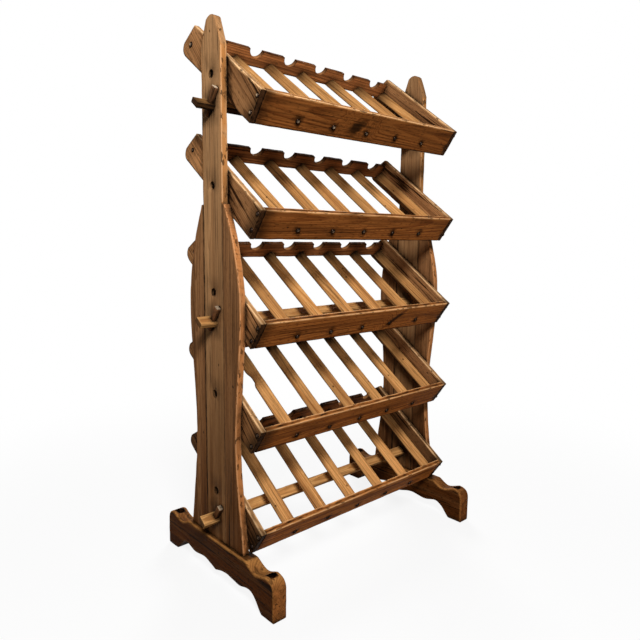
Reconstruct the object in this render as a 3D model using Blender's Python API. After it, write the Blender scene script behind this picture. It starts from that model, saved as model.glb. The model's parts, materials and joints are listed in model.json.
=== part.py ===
"""Free-standing pine wine rack: five tilted trays between two wedged trestle ends.

Metres, +Z up, front towards -Y. The origin is on the floor under the middle of the rack.
Each tray has its own frame: its axis passes through the bolts in the uprights, its local Y runs
up and back along the slats, and its local Z stands square to the slats.
"""
import math

import bmesh
import bpy
from mathutils import Matrix, Vector

# Fits
CLEARANCE = 0.0003

# Bottle bays and trays
BAY_COUNT = 6
BAY_PITCH = 0.100
TRAY_NAMES = ("top", "second", "third", "fourth", "bottom")
TRAY_PITCH = 0.222
TRAY_TILT = math.radians(35.6)
TRAY_ABOVE_FEET = 0.003
TRAY_BOARD = 0.012

# Side boards, measured from the tray axis
SIDE_FRONT = 0.154
SIDE_REAR = 0.160
SIDE_ABOVE = 0.046
SIDE_BELOW = 0.024
SIDE_END_LEAN = 0.022
SIDE_END_ROUND = 0.022

# Neck rail
NECK_RAIL_BACK = 0.125
NECK_RAIL_TOP = 0.034
NOTCH_RADIUS = 0.0185

# Slats of ridge section
SLAT_BELOW = 0.006
SLAT_WIDTH = 0.036
SLAT_HEIGHT = 0.018
SLAT_EDGE = 0.002
SLAT_RIDGE = 0.004
JOINED_SLAT_LAP = 0.001

# Uprights
RACK_HEIGHT = 1.206
UPRIGHT_THICKNESS = 0.015
UPRIGHT_WIDTH = 0.074
UPRIGHT_SETBACK = 0.007
POINT_HEIGHT = 0.060
POINT_TIP = 0.034
POINT_CROWN = 0.007
POINT_SWELL = 0.001
FOOT_TENON_WIDTH = 0.050
FOOT_TENON_DEPTH = 0.050
BOLT_HOLE_DIAMETER = 0.018
BOLT_HOLE_DEPTH = 0.006

# Wings: height above the floor and width beyond the upright's edge
WING_TOP_HEIGHT = 0.833
WING_TOP_WIDTH = 0.007
WING_SHOULDER_HEIGHT = 0.745
WING_SHOULDER_WIDTH = 0.040
WING_BULGE_HEIGHT = 0.605
WING_BULGE_WIDTH = 0.062
WING_WAIST_HEIGHT = 0.330
WING_WAIST_WIDTH = 0.042
WING_FOOT_WIDTH = 0.069

# Stretchers and their wedges
STRETCHER_TRAYS = {"top": "top", "middle": "third", "bottom": "bottom"}
STRETCHER_WIDTH = 0.026
STRETCHER_THICKNESS = 0.012
STRETCHER_FORWARD = 0.038
STRETCHER_GAP = 0.019
STRETCHER_PROJECTION = 0.040
SHOULDERED_STRETCHER = "top"
SHOULDER_HEIGHT = 0.012
WEDGE_ABOVE = 0.040
WEDGE_BELOW = 0.025
WEDGE_THICKNESS = 0.009
WEDGE_WIDTH = 0.0115
WEDGE_TAPER = 0.045

# Feet
FOOT_THICKNESS = 0.034
FOOT_HEIGHT = 0.092
FOOT_LENGTH = 0.430
FOOT_LEDGE = 0.006
TOE_DIP_REACH = 0.064
TOE_DIP_DEPTH = 0.0135
TOE_CROWN_REACH = 0.028
TOE_CROWN_DROP = 0.0025
TOE_FRONT_DROP = 0.032
TOE_HOLE_DIAMETER = 0.020
TOE_HOLE_DEPTH = 0.014
PAD_LENGTH = 0.042
ARCH_REACH = 0.080
ARCH_HEIGHT = 0.0335
BUMP_OFFSET = 0.090
BUMP_HEIGHT = 0.0265
INNER_ARCH_OFFSET = 0.043
INNER_ARCH_HEIGHT = 0.031
CUSP_HEIGHT = 0.0205

# Smoothness of the curves
CURVE_STEPS = 5
HOLE_SIDES = 20
NOTCH_STEPS = 10

# Places worked out from the sizes
TRAY_INNER = BAY_COUNT * BAY_PITCH / 2
TRAY_OUTER = TRAY_INNER + TRAY_BOARD
UPRIGHT_INNER = TRAY_OUTER + CLEARANCE
UPRIGHT_OUTER = UPRIGHT_INNER + UPRIGHT_THICKNESS
UPRIGHT_EDGE = UPRIGHT_WIDTH / 2
END_MIDDLE = (UPRIGHT_INNER + UPRIGHT_OUTER) / 2
FOOT_HALF = FOOT_LENGTH / 2
FOOT_FLAT = UPRIGHT_EDGE + WING_FOOT_WIDTH + UPRIGHT_SETBACK + FOOT_LEDGE
SEAT_HEIGHT = FOOT_HEIGHT + CLEARANCE
TRAY_DROP = SIDE_FRONT * math.sin(TRAY_TILT) + SIDE_BELOW * math.cos(TRAY_TILT)
BOTTOM_TRAY_HEIGHT = FOOT_HEIGHT + TRAY_ABOVE_FEET + TRAY_DROP
SLAT_FRONT = -SIDE_FRONT + TRAY_BOARD + CLEARANCE
SLAT_BACK = NECK_RAIL_BACK - CLEARANCE
STRETCHER_MIDDLE = -(SIDE_BELOW + STRETCHER_GAP + STRETCHER_THICKNESS / 2)
STRETCHER_HALF = UPRIGHT_OUTER + STRETCHER_PROJECTION

# Base colour and roughness of each kind of board
FINISHES = {
    "foot": ((0.120, 0.050, 0.022), 0.50),
    "upright": ((0.175, 0.080, 0.036), 0.50),
    "wing": ((0.190, 0.085, 0.038), 0.50),
    "stretcher": ((0.330, 0.150, 0.055), 0.52),
    "wedge": ((0.300, 0.150, 0.075), 0.55),
    "side": ((0.170, 0.072, 0.030), 0.48),
    "front_rail": ((0.185, 0.068, 0.022), 0.45),
    "neck_rail": ((0.095, 0.038, 0.015), 0.50),
    "slat": ((0.400, 0.175, 0.058), 0.45),
}


def clear_scene():
    for old in list(bpy.data.objects):
        bpy.data.objects.remove(old, do_unlink=True)


def make_finish(kind):
    colour, roughness = FINISHES[kind]
    material = bpy.data.materials.new(kind + "_pine")
    material.use_nodes = True
    shader = material.node_tree.nodes["Principled BSDF"]
    shader.inputs["Base Color"].default_value = (*colour, 1.0)
    shader.inputs["Roughness"].default_value = roughness
    shader.inputs["Metallic"].default_value = 0.0
    return material


def smooth_through(points):
    """Points along a Catmull-Rom curve from the first point to the last."""
    ends = [points[0] * 2 - points[1], *points, points[-1] * 2 - points[-2]]
    curve = []
    for before, start, stop, after in zip(ends, ends[1:], ends[2:], ends[3:]):
        for step in range(CURVE_STEPS):
            t = step / CURVE_STEPS
            pull = (stop - before) * t
            bend = (before * 2 - start * 5 + stop * 4 - after) * t ** 2
            turn = (start * 3 - before - stop * 3 + after) * t ** 3
            curve.append(start + (pull + bend + turn) / 2)
    return [*curve, points[-1]]


def bend_between(start, corner, stop):
    """Points of a quadratic curve that leaves start towards corner and arrives at stop."""
    curve = []
    for step in range(CURVE_STEPS + 1):
        t = step / CURVE_STEPS
        curve.append(start * (1 - t) ** 2 + corner * (2 * t * (1 - t)) + stop * t ** 2)
    return curve


def mirrored(points):
    """Half an outline followed by its mirror image, with points on the middle line kept once."""
    other_half = [Vector((-p.x, p.y)) for p in reversed(points) if abs(p.x) > CLEARANCE]
    return [*points, *other_half]


def add_prism(bm, outline, axis, low, high):
    """Extrude a flat outline along X (outline in Y, Z) or along Y (outline in X, Z)."""
    if axis == "X":
        corners = [(low, p.x, p.y) for p in outline]
        travel = Vector((high - low, 0, 0))
    else:
        corners = [(p.x, low, p.y) for p in outline]
        travel = Vector((0, high - low, 0))
    base = bm.faces.new([bm.verts.new(corner) for corner in corners])
    grown = bmesh.ops.extrude_face_region(bm, geom=[base])
    moved = [item for item in grown["geom"] if isinstance(item, bmesh.types.BMVert)]
    bmesh.ops.translate(bm, vec=travel, verts=moved)


def add_hole(bm, centre, direction, diameter, depth):
    """A round cutter that starts outside centre and reaches depth along direction."""
    overrun = 2 * depth
    length = depth + overrun
    middle = centre + direction * (depth - length / 2)
    turn = direction.to_track_quat("Z", "Y").to_matrix().to_4x4()
    bmesh.ops.create_cone(
        bm, cap_ends=True, segments=HOLE_SIDES, radius1=diameter / 2, radius2=diameter / 2,
        depth=length, matrix=Matrix.Translation(middle) @ turn)


def finish_object(bm, name, parent=None):
    bmesh.ops.recalc_face_normals(bm, faces=bm.faces)
    mesh = bpy.data.meshes.new(name)
    bm.to_mesh(mesh)
    bm.free()
    return place_object(mesh, name, parent)


def place_object(mesh, name, parent=None):
    item = bpy.data.objects.new(name, mesh)
    item.parent = parent
    bpy.context.collection.objects.link(item)
    return item


def make_cutter(bm, name, parent=None):
    cutter = finish_object(bm, name, parent)
    cutter.hide_render = True
    cutter.display_type = "WIRE"
    return cutter


def combine(item, other, operation):
    change = item.modifiers.new(other.name, "BOOLEAN")
    change.operation = operation
    change.solver = "EXACT"
    change.object = other


def make_board(name, outline, axis, low, high, finish, parent=None):
    bm = bmesh.new()
    add_prism(bm, outline, axis, low, high)
    board = finish_object(bm, name, parent)
    board.data.materials.append(finish)
    return board


def rectangle(left, right, bottom, top):
    return [Vector(corner) for corner in ((left, bottom), (right, bottom), (right, top), (left, top))]


def make_frame(name, location, tilt):
    frame = bpy.data.objects.new(name, None)
    frame.location = location
    frame.rotation_euler = (tilt, 0, 0)
    bpy.context.collection.objects.link(frame)
    return frame


def tray_height(tray):
    return BOTTOM_TRAY_HEIGHT + TRAY_PITCH * (len(TRAY_NAMES) - 1 - TRAY_NAMES.index(tray))


def from_tray(tray, along, square):
    """World place of a point on the tray's middle plane, from its local Y and Z."""
    back = along * math.cos(TRAY_TILT) - square * math.sin(TRAY_TILT)
    up = along * math.sin(TRAY_TILT) + square * math.cos(TRAY_TILT)
    return Vector((0, UPRIGHT_SETBACK + back, tray_height(tray) + up))


# Feet
def foot_outline():
    toe_top = smooth_through([
        Vector((FOOT_FLAT, FOOT_HEIGHT)),
        Vector((FOOT_HALF - TOE_DIP_REACH, FOOT_HEIGHT - TOE_DIP_DEPTH)),
        Vector((FOOT_HALF - TOE_CROWN_REACH, FOOT_HEIGHT - TOE_CROWN_DROP))])
    toe_front = bend_between(
        toe_top[-1],
        Vector((FOOT_HALF, FOOT_HEIGHT - TOE_CROWN_DROP)),
        Vector((FOOT_HALF, FOOT_HEIGHT - TOE_FRONT_DROP)))
    underside = smooth_through([
        Vector((FOOT_HALF - PAD_LENGTH, 0)),
        Vector((FOOT_HALF - ARCH_REACH, ARCH_HEIGHT)),
        Vector((BUMP_OFFSET, BUMP_HEIGHT)),
        Vector((INNER_ARCH_OFFSET, INNER_ARCH_HEIGHT)),
        Vector((0, CUSP_HEIGHT))])
    half = [Vector((0, FOOT_HEIGHT)), *toe_top, *toe_front[1:], Vector((FOOT_HALF, 0)), *underside]
    return mirrored(half)


def make_feet():
    bm = bmesh.new()
    mortise = FOOT_TENON_WIDTH / 2 + CLEARANCE
    floor = FOOT_HEIGHT - FOOT_TENON_DEPTH - CLEARANCE
    for side in (-1, 1):
        inner = side * (UPRIGHT_INNER - CLEARANCE)
        outer = side * (UPRIGHT_OUTER + CLEARANCE)
        slot = rectangle(UPRIGHT_SETBACK - mortise, UPRIGHT_SETBACK + mortise, floor, 2 * FOOT_HEIGHT)
        add_prism(bm, slot, "X", inner, outer)
        for toe in (-1, 1):
            crown = Vector((side * END_MIDDLE, toe * (FOOT_HALF - TOE_CROWN_REACH),
                            FOOT_HEIGHT - TOE_CROWN_DROP))
            add_hole(bm, crown, Vector((0, 0, -1)), TOE_HOLE_DIAMETER, TOE_HOLE_DEPTH)
    cutter = make_cutter(bm, "foot_cutter")
    finish = make_finish("foot")
    for name, side in (("left", -1), ("right", 1)):
        middle = side * END_MIDDLE
        foot = make_board(name + "_foot", foot_outline(), "X", middle - FOOT_THICKNESS / 2,
                          middle + FOOT_THICKNESS / 2, finish)
        combine(foot, cutter, "DIFFERENCE")


# Uprights
def upright_outline():
    tenon = FOOT_TENON_WIDTH / 2
    shoulder = RACK_HEIGHT - POINT_HEIGHT
    crown = RACK_HEIGHT - POINT_CROWN
    middle = Vector(((UPRIGHT_EDGE + POINT_TIP / 2) / 2, (shoulder + crown) / 2))
    slope = bend_between(
        Vector((UPRIGHT_EDGE, shoulder)),
        middle + Vector((POINT_SWELL, POINT_SWELL)),
        Vector((POINT_TIP / 2, crown)))
    tip = bend_between(slope[-1], Vector((POINT_TIP / 4, RACK_HEIGHT)), Vector((0, RACK_HEIGHT)))
    half = [Vector((tenon, FOOT_HEIGHT - FOOT_TENON_DEPTH)), Vector((tenon, SEAT_HEIGHT)),
            Vector((UPRIGHT_EDGE, SEAT_HEIGHT)), *slope, *tip[1:]]
    return [p + Vector((UPRIGHT_SETBACK, 0)) for p in mirrored(half)]


def make_uprights():
    bm = bmesh.new()
    for tray in TRAY_NAMES:
        axis = from_tray(tray, 0, 0)
        for side in (-1, 1):
            face = axis + Vector((side * UPRIGHT_OUTER, 0, 0))
            add_hole(bm, face, Vector((-side, 0, 0)), BOLT_HOLE_DIAMETER, BOLT_HOLE_DEPTH)
    half_width = STRETCHER_WIDTH / 2 + CLEARANCE
    half_thickness = STRETCHER_THICKNESS / 2 + CLEARANCE
    for tray in STRETCHER_TRAYS.values():
        slot = [from_tray(tray, -STRETCHER_FORWARD + p.x, STRETCHER_MIDDLE + p.y)
                for p in rectangle(-half_width, half_width, -half_thickness, half_thickness)]
        add_prism(bm, [Vector((p.y, p.z)) for p in slot], "X", -STRETCHER_HALF, STRETCHER_HALF)
    cutter = make_cutter(bm, "upright_cutter")
    finish = make_finish("upright")
    for name, side in (("left", -1), ("right", 1)):
        upright = make_board(name + "_upright", upright_outline(), "X", side * UPRIGHT_INNER,
                             side * UPRIGHT_OUTER, finish)
        combine(upright, cutter, "DIFFERENCE")


# Wings
def wing_outline(facing):
    edge = UPRIGHT_EDGE + CLEARANCE
    outer = smooth_through([
        Vector((UPRIGHT_EDGE + WING_TOP_WIDTH, WING_TOP_HEIGHT)),
        Vector((UPRIGHT_EDGE + WING_SHOULDER_WIDTH, WING_SHOULDER_HEIGHT)),
        Vector((UPRIGHT_EDGE + WING_BULGE_WIDTH, WING_BULGE_HEIGHT)),
        Vector((UPRIGHT_EDGE + WING_WAIST_WIDTH, WING_WAIST_HEIGHT)),
        Vector((UPRIGHT_EDGE + WING_FOOT_WIDTH, SEAT_HEIGHT))])
    outline = [Vector((edge, SEAT_HEIGHT)), Vector((edge, WING_TOP_HEIGHT)), *outer]
    return [Vector((UPRIGHT_SETBACK + facing * p.x, p.y)) for p in outline]


def make_wings():
    finish = make_finish("wing")
    for name, side in (("left", -1), ("right", 1)):
        for place, facing in (("front", -1), ("rear", 1)):
            make_board(f"{name}_{place}_wing", wing_outline(facing), "X", side * UPRIGHT_INNER,
                       side * UPRIGHT_OUTER, finish)


# Stretchers and wedges
def add_taper(bm, side, bottom, top, spare):
    """A peg that thins downwards. Its inner face lies along the upright's outer face."""
    rings = []
    for height in (bottom, top):
        thickness = WEDGE_THICKNESS + WEDGE_TAPER * height + spare
        half_width = (WEDGE_WIDTH + WEDGE_TAPER * height) / 2 + spare
        corners = ((-spare, -half_width), (thickness, -half_width),
                   (thickness, half_width), (-spare, half_width))
        rings.append([bm.verts.new((side * x, y, height)) for x, y in corners])
    bm.faces.new(rings[0])
    bm.faces.new(rings[1])
    for near, far in ((0, 1), (1, 2), (2, 3), (3, 0)):
        bm.faces.new((rings[0][near], rings[0][far], rings[1][far], rings[1][near]))


def make_stretchers():
    stretcher_finish = make_finish("stretcher")
    wedge_finish = make_finish("wedge")
    outline = rectangle(-STRETCHER_WIDTH / 2, STRETCHER_WIDTH / 2,
                        -STRETCHER_THICKNESS / 2, STRETCHER_THICKNESS / 2)
    for name, tray in STRETCHER_TRAYS.items():
        line = make_frame(name + "_stretcher_line",
                          from_tray(tray, -STRETCHER_FORWARD, STRETCHER_MIDDLE), TRAY_TILT)
        stretcher = make_board(name + "_stretcher", outline, "X", -STRETCHER_HALF, STRETCHER_HALF,
                               stretcher_finish, line)
        if name == SHOULDERED_STRETCHER:
            # Between the uprights this one is thicker, so that it bears on them with a shoulder
            bm = bmesh.new()
            shoulder = rectangle(-STRETCHER_WIDTH / 2, STRETCHER_WIDTH / 2,
                                 0, STRETCHER_THICKNESS / 2 + SHOULDER_HEIGHT)
            add_prism(bm, shoulder, "X", -TRAY_OUTER, TRAY_OUTER)
            combine(stretcher, make_cutter(bm, name + "_stretcher_shoulder", line), "UNION")
        for end, side in (("left", -1), ("right", 1)):
            seat = Vector((side * (UPRIGHT_OUTER + CLEARANCE), 0, 0))
            bm = bmesh.new()
            add_taper(bm, side, -STRETCHER_THICKNESS, STRETCHER_THICKNESS, CLEARANCE)
            cutter = make_cutter(bm, f"{end}_{name}_wedge_cutter", line)
            cutter.location = seat
            combine(stretcher, cutter, "DIFFERENCE")
            bm = bmesh.new()
            add_taper(bm, side, -WEDGE_BELOW, WEDGE_ABOVE, 0)
            wedge = finish_object(bm, f"{end}_{name}_wedge", line)
            wedge.location = seat
            wedge.data.materials.append(wedge_finish)


# Trays
def side_outline():
    rear_foot = -SIDE_BELOW + SIDE_END_ROUND
    end = bend_between(Vector((SIDE_REAR, rear_foot)), Vector((SIDE_REAR, -SIDE_BELOW)),
                       Vector((SIDE_REAR - SIDE_END_ROUND, -SIDE_BELOW)))
    return [Vector((-SIDE_FRONT, -SIDE_BELOW)), Vector((-SIDE_FRONT, SIDE_ABOVE)),
            Vector((SIDE_REAR - SIDE_END_LEAN, SIDE_ABOVE)), *end]


def slat_outline(middle):
    base = -SLAT_BELOW
    half = [Vector((SLAT_WIDTH / 2, base)), Vector((SLAT_WIDTH / 2, base + SLAT_EDGE)),
            Vector((SLAT_RIDGE / 2, base + SLAT_HEIGHT))]
    return [p + Vector((middle, 0)) for p in mirrored(half)]


def fillet_outline(side):
    """Half of a slat's section, with its upright face let into the side board."""
    inner = TRAY_INNER - SLAT_WIDTH / 2
    wall = TRAY_INNER + JOINED_SLAT_LAP
    top = SLAT_HEIGHT - SLAT_BELOW
    points = ((inner, -SLAT_BELOW), (inner, SLAT_EDGE - SLAT_BELOW),
              (TRAY_INNER - SLAT_RIDGE / 2, top), (wall, top), (wall, -SLAT_BELOW))
    return [Vector((side * x, z)) for x, z in points]


def neck_rail_outline():
    end = TRAY_INNER - CLEARANCE
    top = []
    for bay in range(BAY_COUNT):
        middle = (bay - (BAY_COUNT - 1) / 2) * BAY_PITCH
        for step in range(NOTCH_STEPS + 1):
            turn = math.pi * step / NOTCH_STEPS
            top.append(Vector((middle - NOTCH_RADIUS * math.cos(turn),
                               NECK_RAIL_TOP - NOTCH_RADIUS * math.sin(turn))))
    return [Vector((-end, -SLAT_BELOW)), Vector((-end, NECK_RAIL_TOP)), *top,
            Vector((end, NECK_RAIL_TOP)), Vector((end, -SLAT_BELOW))]


def make_sides(tray, frame, finish):
    for name, side in (("left", -1), ("right", 1)):
        board = make_board(f"{tray}_tray_{name}_side", side_outline(), "X", side * TRAY_INNER,
                           side * TRAY_OUTER, finish, frame)
        bm = bmesh.new()
        add_prism(bm, fillet_outline(side), "Y", SLAT_FRONT, SLAT_BACK)
        combine(board, make_cutter(bm, f"{tray}_tray_{name}_fillet", frame), "UNION")


def make_tray(tray, finishes):
    frame = make_frame(tray + "_tray", from_tray(tray, 0, 0), TRAY_TILT)
    make_sides(tray, frame, finishes["side"])
    end = TRAY_INNER - CLEARANCE
    make_board(tray + "_tray_front_rail", rectangle(-end, end, -SIDE_BELOW, SIDE_ABOVE), "Y",
               -SIDE_FRONT, -SIDE_FRONT + TRAY_BOARD, finishes["front_rail"], frame)
    neck_rail = make_board(tray + "_tray_neck_rail", neck_rail_outline(), "Y",
                           NECK_RAIL_BACK, NECK_RAIL_BACK + TRAY_BOARD, finishes["neck_rail"], frame)
    for number in range(2, BAY_COUNT + 1):
        middle = (number - 1 - BAY_COUNT / 2) * BAY_PITCH
        if abs(middle) < BAY_PITCH / 4:
            # The centre slat is one piece with the neck rail
            bm = bmesh.new()
            add_prism(bm, slat_outline(middle), "Y", SLAT_FRONT, NECK_RAIL_BACK + JOINED_SLAT_LAP)
            combine(neck_rail, make_cutter(bm, tray + "_tray_centre_slat", frame), "UNION")
        else:
            make_board(f"{tray}_tray_slat_{number}", slat_outline(middle), "Y", SLAT_FRONT,
                       SLAT_BACK, finishes["slat"], frame)


def make_trays():
    finishes = {kind: make_finish(kind) for kind in ("side", "front_rail", "neck_rail", "slat")}
    for tray in TRAY_NAMES:
        make_tray(tray, finishes)


def main():
    clear_scene()
    make_feet()
    make_uprights()
    make_wings()
    make_stretchers()
    make_trays()


main()
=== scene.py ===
"""Dressed model of the pine wine rack: worn boards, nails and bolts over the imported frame."""
import json
import math
import random
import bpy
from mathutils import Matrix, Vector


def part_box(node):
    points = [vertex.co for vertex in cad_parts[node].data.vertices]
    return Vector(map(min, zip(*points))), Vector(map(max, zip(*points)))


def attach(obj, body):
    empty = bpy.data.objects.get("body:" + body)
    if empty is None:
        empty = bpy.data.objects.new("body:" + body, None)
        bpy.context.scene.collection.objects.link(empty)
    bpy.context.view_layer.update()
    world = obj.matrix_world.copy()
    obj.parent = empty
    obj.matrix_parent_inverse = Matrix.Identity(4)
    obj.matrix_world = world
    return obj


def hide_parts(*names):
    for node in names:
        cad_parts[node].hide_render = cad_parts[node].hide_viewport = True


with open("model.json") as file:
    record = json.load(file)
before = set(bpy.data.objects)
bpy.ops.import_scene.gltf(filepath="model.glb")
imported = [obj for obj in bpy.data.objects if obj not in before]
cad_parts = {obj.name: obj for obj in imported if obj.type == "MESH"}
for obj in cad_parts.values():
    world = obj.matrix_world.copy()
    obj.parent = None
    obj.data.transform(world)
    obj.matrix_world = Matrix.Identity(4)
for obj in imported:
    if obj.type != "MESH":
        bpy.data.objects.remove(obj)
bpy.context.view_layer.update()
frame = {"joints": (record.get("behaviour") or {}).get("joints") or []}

import zlib
from collections import namedtuple
from functools import partialmethod

import bmesh
import bpy
from mathutils import Matrix, Vector, noise

# Fits, wear, soiling and painted shade, with lengths in metres
CLEARANCE = 0.0003
GLUED_LAP = 0.0008
ARRIS = 0.0016
WORN_STRIP = 0.003
PAINTED_SHADE_REACH = 0.024
# Soiling and painted shade that darken boards towards the floor: height where they fade out, tints, power of
# the deep tint, and streaks
SOIL_AND_SHADE_HEIGHT = 1.05
SOIL_AND_SHADE_TINT = (0.38, 0.32, 0.26)
DEEP_SOIL_AND_SHADE_TINT = (0.30, 0.20, 0.12)
DEEP_SOIL_AND_SHADE_POWER = 5.0
SOIL_AND_SHADE_STREAK = 0.5
LOW_END_DARKENING_REACH = 0.040
VEIN_FADE = 0.050
VEIN_SHADE = 0.3
CHIP_REACH = 0.007
UPRIGHT_SHADOW_REACH = 0.014
POINT_SPACING = 0.007

# Trays, measured from each tray's axis: local Y runs up and back, local Z stands square to the slats
TRAYS = ("top", "second", "third", "fourth", "bottom")
TILT = math.atan2(-frame["joints"][0]["axis"][1], frame["joints"][0]["axis"][2])
BAY_COUNT = 6
BAY_PITCH = 0.100
TRAY_BOARD = 0.012
SIDE_FRONT = 0.154
SIDE_REAR = 0.160
SIDE_ABOVE = 0.046
SIDE_BELOW = 0.024
SIDE_END_LEAN = 0.022
SIDE_END_ROUND = 0.022
NECK_RAIL_BACK = 0.125
NECK_RAIL_TOP = 0.034
NOTCH_RADIUS = 0.0185
SLAT_BELOW = 0.006
SLAT_WIDTH = 0.036
SLAT_HEIGHT = 0.018
SLAT_EDGE = 0.002
SLAT_RIDGE = 0.004
# Reach and strength of the soiling and painted shadow at the rear ends of the slats, and of the soiling at
# their front ends
SLAT_SOIL_AND_SHADOW_BACK = {"top": (0.075, 0.95), "second": (0.055, 1.05), "third": (0.075, 1.1),
                  "fourth": (0.095, 1.3), "bottom": (0.150, 1.2)}
SLAT_SOIL_FRONT = (0.008, 0.6)

# Uprights
POINT_HEIGHT = 0.060
POINT_TIP = 0.034
POINT_CROWN = 0.007
POINT_SWELL = 0.001
FOOT_TENON_WIDTH = 0.050
BOLT_HOLE_RADIUS = 0.009
BOLT_HOLE_DEPTH = 0.006

# Wings: height above the floor and width beyond the upright's edge
WING_TOP = (0.833, 0.007)
WING_SHOULDER = (0.745, 0.040)
WING_BULGE = (0.605, 0.062)
WING_WAIST = (0.330, 0.042)
WING_FOOT_WIDTH = 0.069

# Stretchers and wedges
STRETCHER_TRAYS = {"top": "top", "middle": "third", "bottom": "bottom"}
STRETCHER_LOOKS = {"top": {"tint": -0.55, "end_soil": True}, "middle": {"tint": -0.05},
                   "bottom": {"tint": 0.05}}
WEDGE_TINTS = {"top": 0.1, "middle": 0.9, "bottom": 0.3}
STRETCHER_WIDTH = 0.026
STRETCHER_THICKNESS = 0.012
STRETCHER_FORWARD = 0.038
STRETCHER_DROP = 0.049
SHOULDERED_STRETCHER = "top"
SHOULDER_HEIGHT = 0.012
WEDGE_ABOVE = 0.040
WEDGE_BELOW = 0.025
WEDGE_THICKNESS = 0.009
WEDGE_WIDTH = 0.0115
WEDGE_TAPER = 0.045
WEDGE_ROUND = 0.0012
WEDGE_SHAVE = 0.0003
WEDGE_WAVES = 60
WEDGE_DRIFT = 50
WEDGE_WEAR = 0.4

# Feet
FOOT_LEDGE = 0.006
TOE_DIP_REACH = 0.064
TOE_DIP_DEPTH = 0.0135
TOE_CROWN_REACH = 0.028
TOE_CROWN_DROP = 0.0025
TOE_FRONT_DROP = 0.032
TOE_HOLE_RADIUS = 0.010
TOE_HOLE_DEPTH = 0.014
PAD_LENGTH = 0.042
ARCH = (0.080, 0.0335)
BUMP = (0.090, 0.0265)
INNER_ARCH = (0.043, 0.031)
CUSP_HEIGHT = 0.0205
FOOT_CORNER = 0.003
FOOT_ARRIS = 0.0026

# Fasteners
NAIL_LEVEL = -0.001
NECK_NAIL_LEVEL = 0.002
SIDE_NAILS = ((TRAY_BOARD / 2 - SIDE_FRONT, 0.030), (TRAY_BOARD / 2 - SIDE_FRONT, -0.006),
              (NECK_RAIL_BACK + TRAY_BOARD / 2, 0.009))
NAIL_JITTER = 0.002
NAIL_WIDTHS = (0.85, 1.1)
NAIL_RISES = (0.8, 1.1)
HAMMERED_ROUND = (0.94, 1.05)
NAIL_RADIUS = 0.0056
NAIL_HEIGHT = 0.0036
BOLT_RADIUS = 0.0062

# Curves and meshes
CURVE_STEPS = 8
ARC_STEPS = 3
NOTCH_STEPS = 12
BORE_STEPS = 20
DRILL_STEPS = 24
DRILL_MARGIN = 1.01
DRILL_SIGHT = 1.5
DOME_STEPS = 12
DOME_RINGS = 5
OPEN_CORNER = math.radians(150)
CORNER_SHARE = 0.4
MITRE_LIMIT = 0.6
SHARP_EDGE = math.radians(50)
WELD = 0.00001
FLAT = 0.000001

SIDES = {"left": -1, "right": 1}

X, Y, Z = Vector((1, 0, 0)), Vector((0, 1, 0)), Vector((0, 0, 1))


def axes(along, across, square):
    """Matrix of a board's own frame: along its grain, across its face and square to its face."""
    return Matrix((along, across, square)).transposed().to_4x4()


UPRIGHT_AXES = axes(Z, -Y, X)
FOOT_AXES = axes(Y, Z, X)
SIDE_AXES = axes(Y, Z, X)
RAIL_AXES = axes(X, Z, -Y)
SLAT_AXES = axes(Y, -X, Z)
STRETCHER_AXES = axes(X, Y, Z)
WEDGE_AXES = axes(Z, X, Y)

# Places read from the frame
UPRIGHT_LOW, UPRIGHT_HIGH = (Vector(corner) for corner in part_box("right_upright"))
FOOT_LOW, FOOT_HIGH = (Vector(corner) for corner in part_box("right_foot"))
UPRIGHT_INNER, UPRIGHT_OUTER = UPRIGHT_LOW.x, UPRIGHT_HIGH.x
UPRIGHT_THICKNESS = UPRIGHT_OUTER - UPRIGHT_INNER
UPRIGHT_EDGE = (UPRIGHT_HIGH.y - UPRIGHT_LOW.y) / 2
SETBACK = (UPRIGHT_HIGH.y + UPRIGHT_LOW.y) / 2
END_MIDDLE = (UPRIGHT_INNER + UPRIGHT_OUTER) / 2
FOOT_HEIGHT = FOOT_HIGH.z
FOOT_HALF = FOOT_HIGH.y
FOOT_THICKNESS = FOOT_HIGH.x - FOOT_LOW.x
FOOT_FLAT = UPRIGHT_EDGE + WING_FOOT_WIDTH + SETBACK + FOOT_LEDGE
GLUED_SEAT = FOOT_HEIGHT - GLUED_LAP
TRAY_INNER = BAY_COUNT * BAY_PITCH / 2
SLAT_FRONT = -SIDE_FRONT + TRAY_BOARD + CLEARANCE
SLAT_BACK = NECK_RAIL_BACK - CLEARANCE


def tray_frame(tray):
    """A tray's own frame, found from its front rail's place."""
    low, high = (Vector(corner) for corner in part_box(tray + "_tray_front_rail"))
    turn = Matrix.Rotation(TILT, 4, "X")
    rail_middle = turn @ Vector((0, TRAY_BOARD / 2 - SIDE_FRONT, (SIDE_ABOVE - SIDE_BELOW) / 2))
    return Matrix.Translation((low + high) / 2 - rail_middle) @ turn


# Materials
WOOD_GLOSS = 0.015
WOOD_RELIEF = 0.0009
IRON_GLOSS = 0.5
IRON_RIM = 0.06
IRON_RELIEF = 0.0003
NOWHERE = 100.0

# Noise in the wood: bumps per metre along, across and square to the grain, and detail
NOISES = {
    "ripple": ((50, 90, 90), 3.0), "bend": ((1.6, 9, 9), 2.0), "fibre": ((7, 380, 380), 3.0),
    "blotch": ((4, 10, 10), 2.0), "rag": ((45, 130, 130), 3.0), "end": ((110, 90, 90), 3.0),
    "chip": ((28, 40, 40), 3.0), "nail": ((60, 120, 120), 3.0),
}
# Marks made from such noise, with the levels where a mark begins and is full
MARKS = {
    "streak": ((1.5, 42, 42), 3.0, 0.46, 0.70), "vein": ((6, 150, 150), 3.0, 0.54, 0.64),
    "fleck": ((80, 300, 300), 2.0, 0.56, 0.68), "pore": ((6, 290, 290), 1.0, 0.60, 0.72),
    "crack": ((2.4, 140, 140), 1.0, 0.70, 0.76), "dent": ((60, 150, 150), 2.0, 0.58, 0.64),
    "patch": ((20, 50, 50), 2.0, 0.25, 0.52), "soil": ((2.2, 70, 70), 3.0, 0.36, 0.66),
}
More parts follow.
